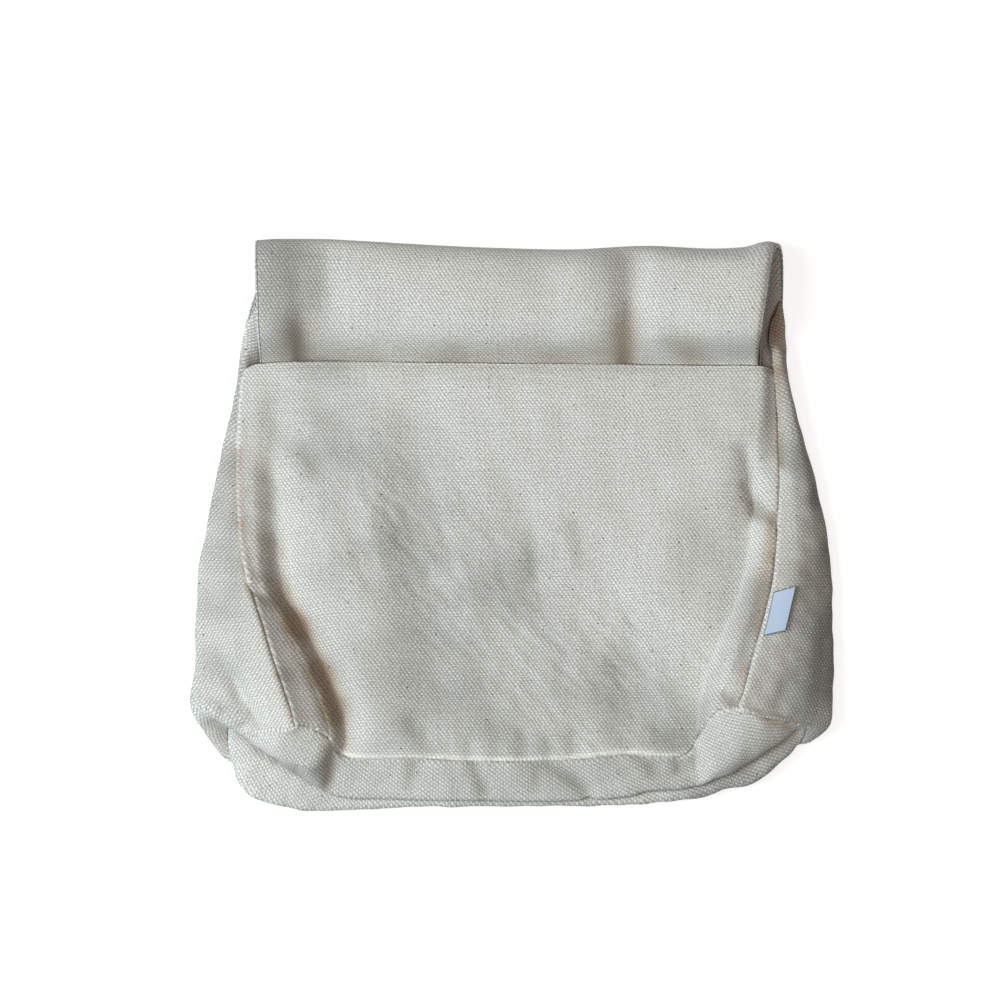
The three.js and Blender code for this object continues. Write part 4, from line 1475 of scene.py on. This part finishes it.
@dataclass(frozen=True)
class CanvasFinish(WovenFinish):
    """Unbleached cotton canvas: plain weave with slubs, seed flecks, painted warm shade down in its folds,
    painted grey shade, and a painted highlight.

    Each row of fleck_sets holds the spacing of a set of flecks, their radius, the share of places that have
    one, and its strength.
    """

    name: str = "unbleached_canvas"
    crown: Colour = (0.800, 0.798, 0.784, 1)
    gap: Colour = (0.408, 0.402, 0.380, 1)
    # Colours of the painted warm shade in folds, the painted grey shade, and the painted highlight along the
    # front's foot seam
    painted_warm_shade: Colour = (0.60, 0.46, 0.33, 1)
    shade_grey: Colour = (0.296, 0.297, 0.280, 1)
    pale: Colour = (0.88, 0.86, 0.82, 1)
    fleck: Colour = (0.050, 0.036, 0.024, 1)
    warp_pitch: float = 0.667
    weft_pitch: float = 0.905
    lean: float = 0.69
    wander: float = 1.1
    bump: float = 0.00010
    bump_strength: float = 0.7
    roughness: float = 0.94
    specular: float = 0.15
    sheen: float = 0.12
    sheen_roughness: float = 0.6
    fibre_scale: float = 1.7
    fibre_share: float = 1.5
    slub_share: float = 0.45
    painted_warm_shade_share: float = 0.8
    shade_in_gaps: float = 1.4
    less_on_crowns: float = 0.8
    fleck_sets: tuple[tuple[float, float, float, float], ...] = (
        (9.0, 0.34, 0.26, 0.7),
        (4.2, 0.26, 0.28, 0.4),
    )

    def coloured(
        self, tree: NodeTree, lengths: Socket, height: Socket, yarns: Socket
    ) -> tuple[Socket, Socket]:
        """Yarns with fibres and slubs, with painted warm shade in folds, painted grey shade and a painted
        highlight, and flecked.

        Args:
            tree: The material's tree.
            lengths: Lengths on the flat cloth.
            height: The weave's height.
            yarns: How thick its yarns are.

        Returns:
            The colour and the height.
        """
        fibre = tree.noise(lengths, self.fibre_scale, 2.0).outputs[0]
        tone = tree.math("ADD", height, self.about_middle(tree, fibre, self.fibre_share))
        slub = tree.math("ADD", tone, self.about_middle(tree, yarns, self.slub_share))
        colour = tree.blend(tree.clamp(slub), self.gap, self.crown)
        # Painted warm shade: the cloth turns brown down in folds and valleys, where shade falls
        warm_shade_mix = tree.math("MULTIPLY", tree.attribute("painted_warm_shade"), self.painted_warm_shade_share)
        colour = tree.blend(warm_shade_mix, colour, self.painted_warm_shade, "MULTIPLY")
        # Painted grey shade: grey laid where the cloth lies in shade, more in the weave's gaps than on its
        # crowns
        painted_shading = tree.attribute("painted_shading")
        gaps = tree.math("SUBTRACT", self.shade_in_gaps, tree.math("MULTIPLY", slub, self.less_on_crowns))
        colour = tree.blend(tree.math("MULTIPLY", painted_shading, gaps), colour, self.shade_grey)
        # Painted highlight: below nought the same mask pales the cloth along the front's foot seam
        colour = tree.blend(tree.math("MULTIPLY", painted_shading, -1.0), colour, self.pale)
        flecks = fleck_group()
        for spacing, radius, share, strength in self.fleck_sets:
            inputs = {"Lengths": lengths, "Spacing": spacing, "Radius": radius, "Share": share}
            spots = tree.add("ShaderNodeGroup", inputs, node_tree=flecks).outputs[0]
            colour = tree.blend(tree.math("MULTIPLY", spots, strength), colour, self.fleck)
        return colour, tone

    @staticmethod
    def about_middle(tree: NodeTree, value: Socket, share: float) -> Socket:
        """How far a value from 0 to 1 lies from its middle, times a share."""
        return tree.math("MULTIPLY", tree.math("SUBTRACT", value, 0.5), share)


@dataclass(frozen=True)
class Lamp:
    """A square area light that faces the pouch, in metres and watts."""

    name: str
    place: tuple[float, float, float]
    size: float
    power: float
    colour: tuple[float, float, float]

    def build(self) -> None:
        """Puts the light into the scene."""
        data = bpy.data.lights.new(self.name, "AREA")
        data.size, data.energy, data.color = self.size, self.power, self.colour
        obj = place_object(self.name, data)
        obj.location = self.place
        obj.rotation_euler = (-obj.location).to_track_quat("-Z", "Y").to_euler()


@dataclass(frozen=True)
class Studio:
    """A pale floor, soft lights and a camera that looks straight down."""

    view_centre: tuple[float, float] = (-4.46, 7.59)
    view_width: float = 330.0
    camera_height: float = 2500.0
    look_height: float = 10.0
    sensor: float = 36.0
    far_clip: float = 20.0
    gamma: float = 0.72
    floor_reach: float = 3.0
    floor_z: float = -0.0002
    floor_colour: Colour = (0.25, 0.25, 0.25, 1)
    floor_roughness: float = 0.9
    floor_glow: float = 0.80
    world_colour: Colour = (1.0, 0.90, 0.80, 1)
    world_strength: float = 0.05
    lamps: tuple[Lamp, ...] = (
        Lamp("window", (-0.45, -1.23, 0.92), 0.8, 2.2, (0.50, 0.85, 1.0)),
        Lamp("left_lamp", (-1.04, 0.0, 1.20), 0.8, 23.4, (0.86, 0.95, 1.0)),
        Lamp("ceiling", (0.0, 0.0, 1.5), 1.0, 12.0, (1.0, 0.89, 0.80)),
    )

    def build(self) -> None:
        """Makes the floor, world, lights and camera, and sets the picture's tone."""
        self.floor()
        self.world()
        for lamp in self.lamps:
            lamp.build()
        self.camera()
        look = bpy.context.scene.view_settings
        look.view_transform = "Standard"
        look.gamma = self.gamma

    def floor(self) -> None:
        """A wide white sheet just below the cloth."""
        mesh = bpy.data.meshes.new("floor")
        plan = np.array([(-1, -1), (1, -1), (1, 1), (-1, 1)]) * self.floor_reach
        mesh.from_pydata([(x, y, self.floor_z) for x, y in plan.tolist()], [], [(0, 1, 2, 3)])
        made = bpy.data.materials.new("white_floor")
        made.use_nodes = True
        inputs = made.node_tree.nodes["Principled BSDF"].inputs
        inputs["Base Color"].default_value = self.floor_colour
        inputs["Roughness"].default_value = self.floor_roughness
        inputs["Emission Color"].default_value = (1, 1, 1, 1)
        inputs["Emission Strength"].default_value = self.floor_glow
        mesh.materials.append(made)
        obj = place_object("floor", mesh)

    def world(self) -> None:
        """Even pale light from all round."""
        world = bpy.data.worlds.new("studio")
        world.use_nodes = True
        inputs = world.node_tree.nodes["Background"].inputs
        inputs["Color"].default_value = self.world_colour
        inputs["Strength"].default_value = self.world_strength
        bpy.context.scene.world = world

    def camera(self) -> None:
        """Straight above, far away with a long lens."""
        data = bpy.data.cameras.new("above")
        data.sensor_width = self.sensor
        data.lens = self.sensor * (self.camera_height - self.look_height) / self.view_width
        data.clip_end = self.far_clip
        obj = place_object("above", data)
        obj.location = np.array([*self.view_centre, self.camera_height]) * MM
        bpy.context.scene.camera = obj


def cloth_pieces() -> list[ClothPiece]:
    """All the pieces, with the sizes they were cut to and what each rests on.

    Returns:
        The pieces, in the order they are built.
    """
    seam, free = Edge.SEAM, Edge.FREE
    gussets = [
        Gusset(
            name, node, "canvas", (0.045, 0.150), 0.0050, "folded", ["back_panel_flap"],
            side=side, outward=side, seed=seed, run_on=run_on, edges=(free, seam, seam, free),
            grey_shade_at=GUSSET_GREY_SHADE, warm_shade_at=GUSSET_WARM_SHADE, creases=GUSSET_CREASES,
        )
        for name, node, side, seed, run_on in (
            ("left_gusset", "gusset_left", -1, 4, 2.4),
            ("right_gusset", "gusset_right", 1, 5, 0.0),
        )
    ]
    return [
        BackPanelFlap(
            "back_and_flap", "back_panel_flap", "canvas", (0.185, 0.260), 0.0450, "folded", ["floor"],
            seed=2, grey_shade_at=FLAP_GREY_SHADE, warm_shade_at=FLAP_WARM_SHADE, creases=FLAP_CREASES,
        ),
        FrontPanel(
            "front", "front_panel", "canvas", (0.180, 0.140), 0.0225, "draped", ["back_panel_flap"],
            seed=3, edges=(free, seam, seam, seam),
            grey_shade_at=FRONT_GREY_SHADE, warm_shade_at=FRONT_WARM_SHADE, creases=FRONT_CREASES,
        ),
        *gussets,
        BottomPanel(
            "bottom", "bottom_panel", "canvas", (0.200, 0.045), 0.0065, "folded", ["back_panel_flap"],
            seed=6, outward=-1, edges=(seam, seam, seam, free),
            grey_shade_at=BOTTOM_GREY_SHADE, warm_shade_at=BOTTOM_WARM_SHADE, creases=BOTTOM_CREASES,
        ),
        LabelTab(
            "label", "label_tab", "label_tape", (0.016, 0.015), 0.00013, "laid", ["gusset_right"],
            thickness=0.4,
        ),
    ]


def main() -> None:
    """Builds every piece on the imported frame, dresses it, and sets up the studio."""
    logging.basicConfig(level=logging.INFO, format="%(name)s: %(message)s")
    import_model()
    weave = weave_group()
    finishes = {"canvas": CanvasFinish().material(weave), "label_tape": TapeFinish().material(weave)}
    for piece in cloth_pieces():
        obj = piece.build()
        piece.dress(obj, finishes[piece.slot])
        LOG.info("%s: %d faces", obj.name, len(obj.data.polygons))
    Studio().build()


if __name__ == "__main__":
    main()
